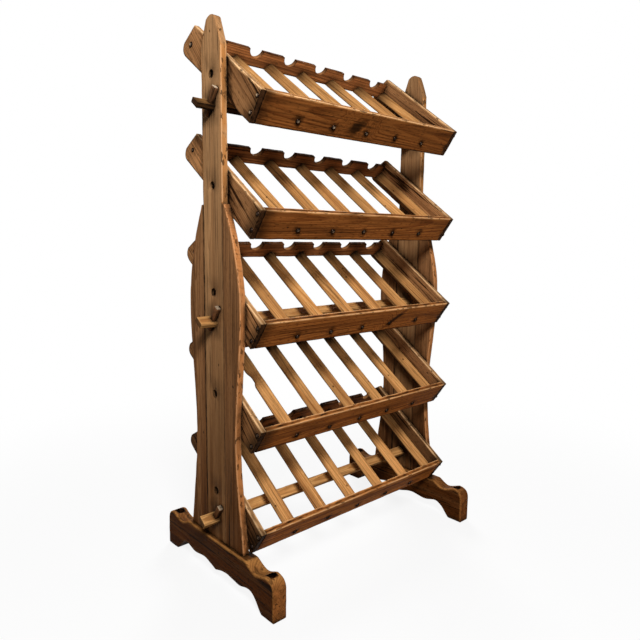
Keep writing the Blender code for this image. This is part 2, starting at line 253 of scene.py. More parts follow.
# Gain and offset that turn a noise or a share into a factor
KNOT_RIPPLE = (1.2, -0.6)
RING_STRENGTH = (0.75, 0.25)
BLOTCH_TONE = (0.7, 0.66)
FIBRE_TONE = (0.9, 0.56)
PALE_TONE = (0.5, 1.0)
PATCH_WEAR = (0.75, 0.25)
WORN_TONE = (0.6, 0.7)
SOIL_AND_SHADE_WEAR = (-0.7, 1.0)
END_DUSK = (-0.6, 1.0)
WOOD_ROUGHNESS = (0.22, 0.46)
# Shares at which marks are laid on
STREAK_SHARE = 0.65
PORE_SHARE = 0.5
WORN_SHARE = 0.9
WORN_RINGS = 0.4
END_SHARE = 0.85
END_RINGS = 0.5
END_CONTRAST = 2.0
CRACK_SHARE = 0.8
KNOT_SHARE = 0.88
DENT_SHARE = 0.75
CHIP_SHARE = 0.9
NAIL_STAIN_SHARE = 0.85
DUSK_SHARE = 0.75
RAG_LEVEL = 0.9
RING_RELIEF = 0.35
FIBRE_RELIEF = 0.5
RUST_ROUGHNESS = 0.15
# Levels between which a mark fades
KNOT_CORE = (0.3, 1.15)
KNOT_HALO = (0.5, 3.2)
RING_RISE = (0.25, 0.85)
RING_END = (0.9, 1.0)
PIT_EDGE = (0.05, 0.15)
PIT_RARITY = (0.78, 0.80)
CHIP_EDGE = (0.46, 0.52)
NAIL_STAIN = (-0.012, 0.004)
PAINTED_SHADE_EDGE = (0.40, 0.97)
RUST_EDGE = (0.5, 0.66)
# Shapes of marks
KNOT_PUSH = 1.6
RING_BEND = (0.010, 0.014)
PITH_LEAN = 0.030
PIT_SCALE = (34, 55, 55)
NAIL_STAIN_RAG = 0.026
DUSK_RAG = 0.04
PAINTED_SHADE_SAMPLES = 6
RUST_NOISE = ((300, 300, 300), 3.0)
HAMMER_NOISE = ((420, 420, 420), 1.0)


def srgb(red, green, blue):
    """A display colour as the linear colour that renders to it."""
    parts = (c / 255 for c in (red, green, blue))
    return tuple(c / 12.92 if c <= 0.04045 else ((c + 0.055) / 1.055) ** 2.4 for c in parts)


# Near-white colour of the painted highlight on arrises whose wear is over 1
PAINTED_HIGHLIGHT = srgb(255, 214, 166)
# Colour of nail crowns rubbed to bright metal, also a painted highlight
BARE_IRON_HIGHLIGHT = srgb(236, 204, 168)


class Value:
    """What a node puts out, with the arithmetic that further nodes can do on it."""

    def __init__(self, nodes, socket):
        self.nodes = nodes
        self.socket = socket

    def math(self, operation, *others):
        return self.nodes.math(operation, self, *others)

    __add__ = partialmethod(math, "ADD")
    __sub__ = partialmethod(math, "SUBTRACT")
    __mul__ = partialmethod(math, "MULTIPLY")
    __truediv__ = partialmethod(math, "DIVIDE")
    line = partialmethod(math, "MULTIPLY_ADD")
    most = partialmethod(math, "MAXIMUM")

    def __rsub__(self, other):
        return self.nodes.math("SUBTRACT", other, self)

    def length(self, other):
        """Length of a flat vector from its two parts."""
        return (self.math("POWER", 2.0) + other.math("POWER", 2.0)).math("SQRT")

    def step(self, low, high):
        """0 below low and 1 above high, with a smooth rise between."""
        settings = {"interpolation_type": "SMOOTHSTEP"}
        return self.nodes.value("MapRange", settings, self, low, high, 0.0, 1.0)

    def fall(self, low, high):
        """1 below low and 0 above high."""
        return 1.0 - self.step(low, high)


class Nodes:
    """Short forms for building a material's node tree."""

    def __init__(self, owner):
        owner.use_nodes = True
        self.owner = owner
        self.tree = owner.node_tree
        self.tree.nodes.clear()

    def add(self, kind, settings, *values):
        node = self.tree.nodes.new("ShaderNode" + kind)
        for key, value in settings.items():
            setattr(node, key, value)
        for socket, value in zip(node.inputs, values):
            self.feed(socket, value)
        return node

    def feed(self, socket, value):
        if isinstance(value, Value):
            self.tree.links.new(value.socket, socket)
        elif value is not None:
            socket.default_value = value

    def value(self, kind, settings, *values, output=0):
        return Value(self, self.add(kind, settings, *values).outputs[output])

    def math(self, operation, *values):
        return self.value("Math", {"operation": operation}, *values)

    def vector(self, operation, *values):
        return self.value("VectorMath", {"operation": operation}, *values)

    def split(self, vector):
        return [Value(self, socket) for socket in self.add("SeparateXYZ", {}, vector).outputs]

    def attribute(self, name):
        return self.value("Attribute", {"attribute_name": name}, output="Vector")

    def noise(self, vector, stretch, detail, output="Fac"):
        """Noise with stretch bumps per metre along each axis."""
        node = self.add("TexNoise", {}, self.vector("MULTIPLY", vector, stretch))
        node.inputs["Scale"].default_value = 1.0
        node.inputs["Detail"].default_value = detail
        return Value(self, node.outputs[output])

    def mix(self, share, first, second, blend="MIX"):
        node = self.add("Mix", {"data_type": "RGBA", "blend_type": blend})
        for key, value in (("Factor_Float", share), ("A_Color", first), ("B_Color", second)):
            socket = next(s for s in node.inputs if s.identifier == key)
            self.feed(socket, (*value, 1.0) if isinstance(value, tuple) else value)
        return Value(self, next(s for s in node.outputs if s.identifier == "Result_Color"))

    def scaled(self, colour, factor):
        node = self.add("VectorMath", {"operation": "SCALE"}, colour)
        self.feed(node.inputs["Scale"], factor)
        return Value(self, node.outputs[0])

    def shade(self, colour, roughness, height, depth, specular, metallic=0.0, rim=1.0):
        """Finish the material with one surface, raised by depth times height."""
        bump = self.add("Bump", {})
        for key, value in (("Height", height), ("Strength", 1.0), ("Distance", depth)):
            self.feed(bump.inputs[key], value)
        shader = self.add("BsdfPrincipled", {})
        for key, value in (("Base Color", colour), ("Roughness", roughness), ("Metallic", metallic),
                           ("Normal", Value(self, bump.outputs[0])), ("Specular IOR Level", specular),
                           ("Specular Tint", (rim, rim, rim, 1.0))):
            self.feed(shader.inputs[key], value)
        self.add("OutputMaterial", {}, Value(self, shader.outputs[0]))
        return self.owner


class Pine(Nodes):
    """Stained pine. A point lies at u along the grain, v across the board and w square to it."""

    def __init__(self, name, look):
        super().__init__(bpy.data.materials.new(name))
        self.look = look
        grain = self.attribute("grain")
        self.place = self.vector("ADD", grain, self.attribute("seed"))
        self.u, self.v, self.w = self.split(grain)
        self.pith_v, self.pith_w, self.tint = self.split(self.attribute("pith"))
        wear, self.end_share, self.grime_and_shade_share = self.split(self.attribute("edge"))
        self.soil_share, self.low_end, self.vein_end = self.split(self.attribute("soil"))
        self.fibre = self.grained("fibre")
        self.blotch = self.grained("blotch")
        self.core, swell = self.knots()
        self.latewood = self.rings(swell)
        patchy = self.mark("patch").line(*PATCH_WEAR)
        self.wear = wear.math("MINIMUM", 1.0)
        self.rubbed = self.wear * patchy
        # Wear over 1 becomes a painted highlight
        self.painted_highlight = ((wear - 1.0) * patchy).most(0.0)

    def grained(self, name, output="Fac"):
        return self.noise(self.place, *NOISES[name], output)

    def mark(self, name):
        scale, detail, low, high = MARKS[name]
        return self.noise(self.place, scale, detail).step(low, high)

    def knots(self):
        """Cores of knots, which may be spikes that lean across the board, and their push on the rings."""
        cosine, sine, squeeze = self.split(self.attribute("knot_lean"))
        ripple = self.grained("ripple").line(*KNOT_RIPPLE)
        core, swell = 0.0, 0.0
        for knot in ("knot_a", "knot_b"):
            knot_u, knot_v, radius = self.split(self.attribute(knot))
            off_u, off_v = self.u - knot_u, self.v - knot_v
            along = (off_u * cosine + off_v * sine) * squeeze
            across = off_v * cosine - off_u * sine
            radii = along.length(across) / radius + ripple
            core = radii.fall(*KNOT_CORE).most(core)
            swell = radii.fall(*KNOT_HALO).line(radius, swell)
        return core, swell

    def rings(self, swell):
        """Share of late wood, in growth rings about a slightly leaning pith."""
        bend_v, bend_w, _ = self.split(self.grained("bend", "Color"))
        ring_v = bend_v.line(RING_BEND[0], self.v - self.pith_v)
        ring_w = bend_w.line(RING_BEND[1], self.u.line(PITH_LEAN, self.w - self.pith_w))
        ring = swell.line(KNOT_PUSH, ring_v.length(ring_w)) / self.look.ring_spacing
        share = ring.math("FRACT")
        settings = {"noise_dimensions": "1D"}
        chance = self.value("TexWhiteNoise", settings, None, ring.math("FLOOR"), output="Value")
        return share.step(*RING_RISE) * share.fall(*RING_END) * chance.line(*RING_STRENGTH)

    def stained(self):
        """Colour of sound wood: rings, streaks of stain, fibres, pores, veins and flecks."""
        look = self.look
        pale = (self.u - self.vein_end).step(0.0, VEIN_FADE)
        tone = self.blotch.line(*BLOTCH_TONE) * self.fibre.line(*FIBRE_TONE) * pale.line(*PALE_TONE)
        vein = self.mark("vein") * (1.0 - pale) * self.blotch.line(look.veins, look.veins / 2)
        colour = self.mix(self.latewood, look.early, look.late)
        colour = self.mix(self.mark("streak") * STREAK_SHARE, colour, look.stain)
        colour = self.scaled(colour, tone * (self.tint + 1.0))
        colour = self.mix(self.mark("pore") * PORE_SHARE, colour, look.grime)
        colour = self.mix(vein, colour, tuple(part * VEIN_SHADE for part in look.stain))
        return self.mix(self.mark("fleck") * look.flecks, colour, look.grime)

    def rubbed_and_highlit(self, colour):
        """The colour with worn arrises, a painted highlight on the most worn ones, and end grain."""
        look = self.look
        worn = self.mix(self.latewood * WORN_RINGS, look.worn, look.late)
        worn = self.scaled(worn, self.fibre.line(*WORN_TONE))
        colour = self.mix(self.rubbed * WORN_SHARE, colour, worn)
        colour = self.mix(self.painted_highlight, colour, PAINTED_HIGHLIGHT)
        end = self.mix(self.latewood * END_RINGS, look.end_grain, look.grime)
        end = self.scaled(end, self.grained("end") * END_CONTRAST)
        return self.mix(self.end_share * END_SHARE, colour, end)

    def soiled_and_shaded(self, colour):
        """The colour under streaky soiling and painted shade, both thickest near the floor."""
        share = self.soil_share * self.wear.line(*SOIL_AND_SHADE_WEAR)
        tint = self.mix(share.math("POWER", DEEP_SOIL_AND_SHADE_POWER), SOIL_AND_SHADE_TINT, DEEP_SOIL_AND_SHADE_TINT)
        share = share * self.mark("soil").line(SOIL_AND_SHADE_STREAK, 1.0 - SOIL_AND_SHADE_STREAK / 2)
        return self.mix(share, colour, self.mix(1.0, colour, tint, "MULTIPLY"))

    def flaws(self):
        """Cracks, pits, knots and dents, and on a nailed board chips below and black stains at its nails."""
        speck = self.add("TexVoronoi", {}, self.vector("MULTIPLY", self.place, PIT_SCALE))
        speck.inputs["Scale"].default_value = 1.0
        rarity, _, _ = self.split(Value(self, speck.outputs["Color"]))
        pit = Value(self, speck.outputs["Distance"]).fall(*PIT_EDGE) * rarity.step(*PIT_RARITY)
        flaw = (self.mark("crack").most(pit) * CRACK_SHARE).most(self.core * KNOT_SHARE)
        flaw = flaw.most(self.mark("dent") * self.rubbed * DENT_SHARE)
        if not self.look.nailed:
            return flaw
        low = (self.v + SIDE_BELOW).fall(0.0, CHIP_REACH)
        chip = (self.grained("chip") * low).step(*CHIP_EDGE)
        nail_u = (self.u + NOWHERE * BAY_PITCH).math("PINGPONG", BAY_PITCH / 2)
        gap = self.grained("nail").line(-NAIL_STAIN_RAG, nail_u.length(self.v - NAIL_LEVEL))
        return flaw.most(chip * CHIP_SHARE).most(gap.fall(*NAIL_STAIN) * NAIL_STAIN_SHARE)

    def dirt_and_painted_shade(self):
        """Grimy marks, some of them painted shade, painted shade in every crevice between boards, darkening
        towards a board's low end, and a painted shadow ahead of the uprights.
        """
        ragged = self.grained("rag").line(self.look.rag, RAG_LEVEL - self.look.rag / 2)
        # Painted shade: ambient occlusion darkens every crevice between boards
        settings = {"samples": PAINTED_SHADE_SAMPLES}
        openness = self.value("AmbientOcclusion", settings, None, PAINTED_SHADE_REACH, output="AO")
        dirt_and_painted_shade = self.grime_and_shade_share.most(openness.fall(*PAINTED_SHADE_EDGE)) * ragged
        # Darker towards a board's low end
        from_end = self.blotch.line(DUSK_RAG, self.u - self.low_end - DUSK_RAG / 2)
        dusk = from_end.fall(0.0, LOW_END_DARKENING_REACH) * self.end_share.line(*END_DUSK)
        dirt_and_painted_shade = dirt_and_painted_shade.most(dusk * DUSK_SHARE)
        return dirt_and_painted_shade.most(self.soot(ragged)) if self.look.sooty else dirt_and_painted_shade

    def soot(self, ragged):
        """Painted shadow on outer faces, just ahead of the uprights."""
        rest_x, rest_y, _ = self.split(self.value("TexCoord", {}, output="Object"))
        ahead = ragged.line(-UPRIGHT_SHADOW_REACH, UPRIGHT_LOW.y - rest_y)
        outer = rest_x.math("ABSOLUTE").step(TRAY_INNER + TRAY_BOARD / 2, TRAY_INNER + TRAY_BOARD)
        before = rest_y.fall(UPRIGHT_HIGH.y, UPRIGHT_HIGH.y + CLEARANCE)
        return ahead.fall(-UPRIGHT_SHADOW_REACH, UPRIGHT_SHADOW_REACH) * outer * before

    def finish(self):
        flaw = self.flaws()
        colour = self.soiled_and_shaded(self.rubbed_and_highlit(self.stained()))
        colour = self.mix(self.dirt_and_painted_shade().most(flaw), colour, self.look.grime)
        height = self.latewood.line(RING_RELIEF, self.fibre * FIBRE_RELIEF) - flaw
        return self.shade(colour, self.fibre.line(*WOOD_ROUGHNESS), height, WOOD_RELIEF, WOOD_GLOSS)


def make_iron(name, colour, rust, roughness):
    """Blackened iron with rusty patches and a hammered face, and a crown rubbed to bright metal that is also
    a painted highlight.
    """
    n = Nodes(bpy.data.materials.new(name))
    place = n.value("TexCoord", {}, output="Object")
    patch = n.noise(place, *RUST_NOISE).step(*RUST_EDGE)
    dents = n.noise(place, *HAMMER_NOISE)
    bare_and_highlit, _, _ = n.split(n.attribute("edge"))
    colour = n.mix(bare_and_highlit, n.mix(patch, colour, rust), BARE_IRON_HIGHLIGHT)
    roughness = patch.line(RUST_ROUGHNESS, roughness)
    return n.shade(colour, roughness, dents, IRON_RELIEF, IRON_GLOSS, 1.0, IRON_RIM)


# Ring spacing, shares of veins and flecks, raggedness of grimy marks and painted shade, and colours of each
# kind of board
PineLook = namedtuple(
    "PineLook", "ring_spacing veins flecks rag early late stain worn end_grain grime nailed sooty",
    defaults=(False, False))
PINE = {
    "slat_pine": PineLook(
        0.0034, 0.2, 0.15, 0.5, srgb(206, 151, 92), srgb(176, 117, 61), srgb(148, 94, 49),
        srgb(216, 160, 98), srgb(80, 50, 28), srgb(26, 16, 9)),
    "front_rail_pine": PineLook(
        0.0040, 0.35, 0.45, 2.4, srgb(180, 109, 52), srgb(136, 74, 32), srgb(100, 54, 24),
        srgb(232, 164, 98), srgb(54, 30, 17), srgb(16, 9, 5), nailed=True),
    "neck_rail_pine": PineLook(
        0.0040, 0.2, 0.3, 1.4, srgb(168, 105, 58), srgb(126, 75, 40), srgb(90, 53, 28),
        srgb(214, 158, 102), srgb(48, 27, 15), srgb(14, 8, 5)),
    "side_pine": PineLook(
        0.0030, 1.3, 0.4, 2.4, srgb(180, 128, 82), srgb(138, 92, 55), srgb(98, 60, 33),
        srgb(236, 182, 124), srgb(80, 48, 28), srgb(16, 9, 5), sooty=True),
    "upright_pine": PineLook(
        0.0018, 0.18, 0.12, 2.0, srgb(192, 145, 99), srgb(176, 129, 86), srgb(160, 114, 74),
        srgb(190, 124, 63), srgb(138, 92, 54), srgb(18, 11, 6)),
    "wing_pine": PineLook(
        0.0020, 0.3, 0.25, 2.0, srgb(184, 132, 87), srgb(142, 96, 58), srgb(112, 73, 43),
        srgb(210, 136, 78), srgb(122, 78, 46), srgb(18, 11, 6)),
    "foot_pine": PineLook(
        0.0034, 1.3, 0.6, 2.0, srgb(152, 100, 56), srgb(116, 74, 40), srgb(88, 56, 31),
        srgb(222, 156, 86), srgb(168, 102, 52), srgb(10, 6, 3)),
    "stretcher_pine": PineLook(
        0.0034, 0.2, 0.15, 0.8, srgb(206, 152, 92), srgb(168, 112, 60), srgb(140, 90, 48),
        srgb(216, 164, 104), srgb(74, 46, 27), srgb(26, 16, 9)),
    "wedge_pine": PineLook(
        0.0028, 0.3, 0.2, 1.4, srgb(110, 72, 44), srgb(86, 54, 32), srgb(70, 44, 26),
        srgb(146, 102, 67), srgb(226, 202, 172), srgb(20, 12, 7)),
}

# How far soiling and painted shade, darker towards the floor, have darkened each kind of board
SOIL_AND_SHADE = {"foot_pine": 1.0, "upright_pine": 1.0, "wing_pine": 1.0, "side_pine": 0.55, "wedge_pine": 0.5}

materials = {name: Pine(name, look).finish() for name, look in PINE.items()}
nail_iron = make_iron("nail_iron", srgb(36, 28, 24), srgb(44, 28, 18), 0.20)
bolt_iron = make_iron("bolt_iron", srgb(20, 14, 11), srgb(26, 16, 11), 0.70)


# Outlines of boards, in each board's own frame
def spots(*pairs):
    return [Vector(pair) for pair in pairs]


def smooth_through(points):
    """Points along a Catmull-Rom curve from the first point to the last."""
    ends = [points[0] * 2 - points[1], *points, points[-1] * 2 - points[-2]]
    curve = []
    for before, start, stop, after in zip(ends, ends[1:], ends[2:], ends[3:]):
        for step in range(CURVE_STEPS):
            t = step / CURVE_STEPS
            pull = (stop - before) * t
            bend = (before * 2 - start * 5 + stop * 4 - after) * t ** 2
            turn = (start * 3 - before - stop * 3 + after) * t ** 3
            curve.append(start + (pull + bend + turn) / 2)
    return [*curve, points[-1]]


def bend_between(start, corner, stop, steps=CURVE_STEPS):
    """Points of a quadratic curve that leaves start towards corner and arrives at stop."""
    curve = []
    for step in range(steps + 1):
        t = step / steps
        curve.append(start * (1 - t) ** 2 + corner * (2 * t * (1 - t)) + stop * t ** 2)
    return curve


def mirrored(points):
    """Half an outline followed by its mirror image, with points on the middle line kept once."""
    return [*points, *(Vector((-p.x, p.y)) for p in reversed(points) if abs(p.x) > CLEARANCE)]


def rectangle(left, right, bottom, top):
    return spots((left, bottom), (right, bottom), (right, top), (left, top))


def rounded(points, radius):
    """An outline with its sharp corners rounded, counter-clockwise."""
    area = sum(a.x * b.y - b.x * a.y for a, b in zip(points, points[1:] + points[:1]))
    if area < 0:
        points = points[::-1]
    outline = []
    for before, here, after in zip(points[-1:] + points[:-1], points, points[1:] + points[:1]):
        back, ahead = before - here, after - here
        if back.angle(ahead) > OPEN_CORNER:
            outline.append(here)
            continue
        reach = min(radius, CORNER_SHARE * back.length, CORNER_SHARE * ahead.length)
        start, stop = here + back.normalized() * reach, here + ahead.normalized() * reach
        outline.extend(bend_between(start, here, stop, ARC_STEPS))
    return outline


def eased(points, radius):
    """The rounded outline with its long edges divided."""
    outline = rounded(points, radius)
    divided = []
    for start, stop in zip(outline, outline[1:] + outline[:1]):
        count = max(1, round((stop - start).length / POINT_SPACING))
        divided.extend(start.lerp(stop, step / count) for step in range(count))
    return divided


def inward_normals(points):
    """Directions into a counter-clockwise outline, lengthened at corners so that its edges stay parallel."""
    normals = []
    for before, here, after in zip(points[-1:] + points[:-1], points, points[1:] + points[:1]):
        arrive, leave = (here - before).normalized(), (after - here).normalized()
        middle = (arrive + leave).normalized()
        normal = Vector((-middle.y, middle.x))
        normals.append(normal / max(MITRE_LIMIT, normal.dot(Vector((-arrive.y, arrive.x)))))
    return normals


def inset(points, normals, distances):
    """The outline moved inwards. Points that pass each other at a tight corner are drawn together."""
    moved = [p + normal * distance for p, normal, distance in zip(points, normals, distances)]
    count = len(points)
    crossed = [(moved[(i + 1) % count] - moved[i]).dot(points[(i + 1) % count] - points[i]) <= 0
               for i in range(count)]
    first = crossed.index(False) + 1
    run = []
    for i in [(first + k) % count for k in range(count)]:
        run.append(i)
        if not crossed[i]:
            middle = sum((moved[j] for j in run), Vector((0, 0))) / len(run)
            for j in run:
                moved[j] = middle
            run = []
    return moved


# Making boards: reach of random seeds, depth of the pith, spread of tints, and the knot of a clear board
SEED_REACH = 40
PITH_DEPTH = (0.025, 0.070)
TINT_SPREAD = 0.12
NO_KNOT = (NOWHERE, NOWHERE, 0.005)


def chance_for(name):
    return random.Random(zlib.crc32(name.encode()))


def start_board():
    bm = bmesh.new()
    return bm, bm.verts.layers.float_vector.new("edge")


def add_ring(bm, layer, places, edges):
    ring = []
    for place, edge in zip(places, edges):
        vert = bm.verts.new(place)
        vert[layer] = edge
        ring.append(vert)
    return ring


def join_rings(bm, rings):
    for first, second in zip(rings, rings[1:]):
        for i in range(len(first)):
            j = (i + 1) % len(first)
            bm.faces.new((first[i], first[j], second[j], second[i]))


def store(mesh, name, values):
    attribute = mesh.attributes.new(name, "FLOAT_VECTOR", "POINT")
    attribute.data.foreach_set("vector", values)


def add_object(name, data):
    item = bpy.data.objects.new(name, data)
    bpy.context.scene.collection.objects.link(item)
    return item


def finish_piece(bm, name, place, material, body, slope=0.0):
    """Turn the mesh into a piece of the body, and keep its own coordinates for its grain."""
    bmesh.ops.recalc_face_normals(bm, faces=bm.faces)
    mesh = bpy.data.meshes.new(name)
    bm.to_mesh(mesh)
    bm.free()
    lean = Matrix.Rotation(-slope, 3, "Z")
    store(mesh, "grain", [part for vert in mesh.vertices for part in lean @ vert.co])
    mesh.transform(place)
    mesh.polygons.foreach_set("use_smooth", [True] * len(mesh.polygons))
    mesh.set_sharp_from_angle(angle=SHARP_EDGE)
    mesh.materials.append(material)
    piece = add_object(name, mesh)
    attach(piece, body)
    return piece


def finish_board(bm, name, place, slot, node, body="rack", knots=(), lean=0.0, squeeze=0.7, tint=None,
                 end_soil=False, vein_end=NOWHERE, slope=0.0):
    """Turn the mesh into a piece that stands for its node, with what its grain needs."""
    chance = chance_for(name)
    spread = max(abs(vert.co.y) for vert in bm.verts)
    low_end = min(vert.co.x for vert in bm.verts) if end_soil else -NOWHERE
    piece = finish_piece(bm, name, place, materials[slot], body, slope)
    mesh = piece.data
    count = len(mesh.vertices)
    store(mesh, "seed", [chance.uniform(0, SEED_REACH) for _ in range(3)] * count)
    depth = chance.choice((-1, 1)) * chance.uniform(*PITH_DEPTH)
    tone = chance.uniform(-TINT_SPREAD, TINT_SPREAD) if tint is None else tint
    pith = chance.uniform(-spread, spread)
    store(mesh, "pith", [pith, depth, tone] * count)
    shares = [SOIL_AND_SHADE.get(slot, 0.0) * max(0.0, 1 - vert.co.z / SOIL_AND_SHADE_HEIGHT) for vert in mesh.vertices]
    store(mesh, "soil", [part for share in shares for part in (share, low_end, vein_end)])
    for key, knot in zip(("knot_a", "knot_b"), [*knots, NO_KNOT, NO_KNOT]):
        store(mesh, key, list(knot) * count)
    store(mesh, "knot_lean", [math.cos(lean), math.sin(lean), squeeze] * count)
    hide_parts(node)
    return piece


# How edges have worn: wear and grime along an edge's middle, then along its arrises. Wear over 1 is a
# painted highlight
RAIL_END = (0.0, 0.5, 0.1, 0.85)
RAIL_TOP = (0.0, 0.72, 1.5, 0.0)
RAIL_BELOW = (0.0, 0.85, 0.0, 1.25)
SIDE_TOP = (0.55, 0.3, 1.6, 0.0)
LATH_END = (0.8, 0.0, 0.8, 0.0)
LATH_EDGE = (0.1, 0.2, 0.3, 0.2)
NOTCH_EDGE = (0.6, 0.0, 0.0, 0.35)
NECK_EDGE = (0.0, 0.75, 0.0, 0.85)
FOOT_BELOW = (0.05, 0.5, 0.3, 0.3)
FOOT_TOP = (0.25, 0.2, 0.75, 0.0)
POINT_EDGE = (0.2, 0.25, 0.3, 0.1)
UPRIGHT_FREE = (0.9, 0.0, 1.4, 0.0)
WING_FREE = (0.9, 0.0, 1.25, 0.0)
JOINED_FRONT = (0.0, 1.0, 0.0, 0.7)
JOINED_REAR = (0.0, 1.0, 0.0, 1.2)
TOE_WEAR = {"left": 0.85, "right": 0.3}
REAR_TOE_WEAR = 0.3
TOE_ARRIS_WEAR = 0.8
SQUARE_ON = 0.9
FACING_DOWN = 0.5
NOTCH_LIP = 0.003
JOINT_MARGIN = 0.002


def tray_edges(point, normal):
    """Rubbed bright on the top arrises, with a painted highlight there, and dark and dented below."""
    if abs(normal.normalized().x) > SQUARE_ON:
        return RAIL_END
    return RAIL_TOP if normal.y < 0 else RAIL_BELOW


def side_edges(point, normal):
    """As a rail's, but worn paler along the top, with a painted highlight on its arrises."""
    return SIDE_TOP if normal.y < -SQUARE_ON else tray_edges(point, normal)


def stretcher_edges(point, normal):
    return LATH_END if abs(normal.x) > SQUARE_ON else LATH_EDGE


def neck_edges(point, normal):
    """Pale in the notches, where bottles rub, and black on the flats between them."""
    inside = abs(point.x) < TRAY_INNER - TRAY_BOARD
    notched = -SLAT_BELOW + CLEARANCE < point.y < NECK_RAIL_TOP - NOTCH_LIP
    return NOTCH_EDGE if notched and inside else NECK_EDGE


def foot_edges(toe_wear):
    """Rubbed on the toes, most at the front."""
    def edges(point, normal):
        if normal.y > FACING_DOWN:
            return FOOT_BELOW
        wear = toe_wear if point.x < 0 else REAR_TOE_WEAR
        return (wear, 0.0, TOE_ARRIS_WEAR, 0.0) if abs(point.x) > FOOT_FLAT else FOOT_TOP
    return edges


def joined_edge(point):
    return JOINED_FRONT if point.y > 0 else JOINED_REAR


def upright_edges(point, normal):
    """Worn bright below the point and above the wings, with a painted highlight on the arrises, and dark
    where a wing is joined.
    """
    if point.x > UPRIGHT_HIGH.z - POINT_HEIGHT:
        return POINT_EDGE
    return UPRIGHT_FREE if point.x > WING_TOP[0] else joined_edge(point)


# Free edges worn bright with a painted highlight on the arrises; joined edges dark
def wing_edges(point, normal):
    beyond = abs(-point.y - SETBACK) > UPRIGHT_EDGE + JOINT_MARGIN
    return WING_FREE if beyond and point.x > GLUED_SEAT + JOINT_MARGIN else joined_edge(point)


# Cut of an arris: mean, swing, waves per metre and lane in the noise; then the hollow between arrises
CUT_SIZE = (0.9, 0.75)
CUT_WAVES = 45
CUT_LANE = 9
HOLLOW = 0.0003
HOLLOW_WAVES = 25
HOLLOW_LANE = 4
ARRIS_DRIFT = 90
# Rings of an arris: shares of its cut inwards and down, strips beyond, shares of the wall's and its look
ARRIS_RINGS = ((0.0, 1.0, 0.0, WORN_STRIP, 1.0, 0.0), (0.0, 1.0, 0.0, 0.0, 0.2, 0.8),
               (0.3, 0.3, 0.0, 0.0, 0.0, 1.0), (1.0, 0.0, 0.0, 0.0, 0.0, 0.7),
               (1.0, 0.0, WORN_STRIP, 0.0, 0.0, 0.0))
WALL_RINGS = 3


def add_plate(bm, layer, name, outline, thickness, edges, arris=ARRIS):
    """Walls and worn arrises of a flat board; its faces stay open for fill_faces."""
    chance = chance_for(name + " arris")
    shift = Vector([chance.uniform(0, ARRIS_DRIFT) for _ in range(3)])
    normals = inward_normals(outline)
    looks = [edges(p, normal) for p, normal in zip(outline, normals)]
    half = thickness / 2

    def waves(p, count, lane):
        return noise.noise(Vector((p.x * count, p.y * count, lane)) + shift)

    rings = []
    for side in (-1, 1):
        cut = [arris * (CUT_SIZE[0] + CUT_SIZE[1] * waves(p, CUT_WAVES, side * CUT_LANE)) for p in outline]
        hollow = [HOLLOW * (1 + waves(p, HOLLOW_WAVES, HOLLOW_LANE)) * (look[1] < 1.0)
                  for p, look in zip(outline, looks)]
        side_rings = []
        for index, (inwards, down, strip, extra, wall_share, arris_share) in enumerate(ARRIS_RINGS):
            moved = inset(outline, normals, [h + c * inwards + strip for h, c in zip(hollow, cut)])
            places = [(p.x, p.y, side * (half - c * down - extra)) for p, c in zip(moved, cut)]
            marks = [(wall_share * look[0] + arris_share * look[2],
                      normal.normalized().x ** 2 * (index < WALL_RINGS),
                      wall_share * look[1] + arris_share * look[3]) for look, normal in zip(looks, normals)]
            side_rings.append(add_ring(bm, layer, places, marks))
        rings.extend(side_rings[::-1] if side < 0 else side_rings)
    join_rings(bm, rings)


# Wear, end grain and darkening inside slots and holes; the darkening is painted shade
SLOT_MARK = (0.0, 0.0, 0.8)
HOLE_MARK = (0.0, 0.0, 1.0)


def add_bore(bm, layer, centre, radius, depth, face):
    """A round blind hole into the face at height face."""
    inwards = -math.copysign(1, face)
    # Share of the radius, depth and painted shade at the rim, the lip and the floor
    profile = ((1.12, 0.0, 0.2), (0.97, 0.0007, 0.7), (0.94, depth, 1.0))
    rings = []
    for scale, drop, grime in profile:
        turns = [2 * math.pi * k / BORE_STEPS for k in range(BORE_STEPS)]
        places = [(centre.x + radius * scale * math.cos(t), centre.y + radius * scale * math.sin(t),
                   face + inwards * drop) for t in turns]
        rings.append(add_ring(bm, layer, places, [(0.0, 0.0, grime)] * len(turns)))
    join_rings(bm, rings)
    bm.faces.new(rings[-1])


def add_slot(bm, layer, low_loop, high_loop, half):
    """A hole right through the board, between a loop on each face."""
    rings = [add_ring(bm, layer, [(p.x, p.y, face) for p in loop], [SLOT_MARK] * len(loop))
             for loop, face in ((low_loop, -half), (high_loop, half))]
    join_rings(bm, rings)


def fill_faces(bm, half):
    bmesh.ops.remove_doubles(bm, verts=bm.verts, dist=WELD)
    for face in (-half, half):
        rim = [edge for edge in bm.edges
               if edge.is_boundary and all(abs(vert.co.z - face) < FLAT for vert in edge.verts)]
        bmesh.ops.triangle_fill(bm, use_beauty=True, edges=rim)


def make_plate(name, outline, thickness, place, slot, node, edges, bores=(), slots=(), **look):
    bm, layer = start_board()
    add_plate(bm, layer, name, eased(outline, ARRIS), thickness, edges)
    for bore in bores:
        add_bore(bm, layer, *bore)
    for low_loop, high_loop in slots:
        add_slot(bm, layer, low_loop, high_loop, thickness / 2)
    fill_faces(bm, thickness / 2)
    return finish_board(bm, name, place, slot, node, **look)


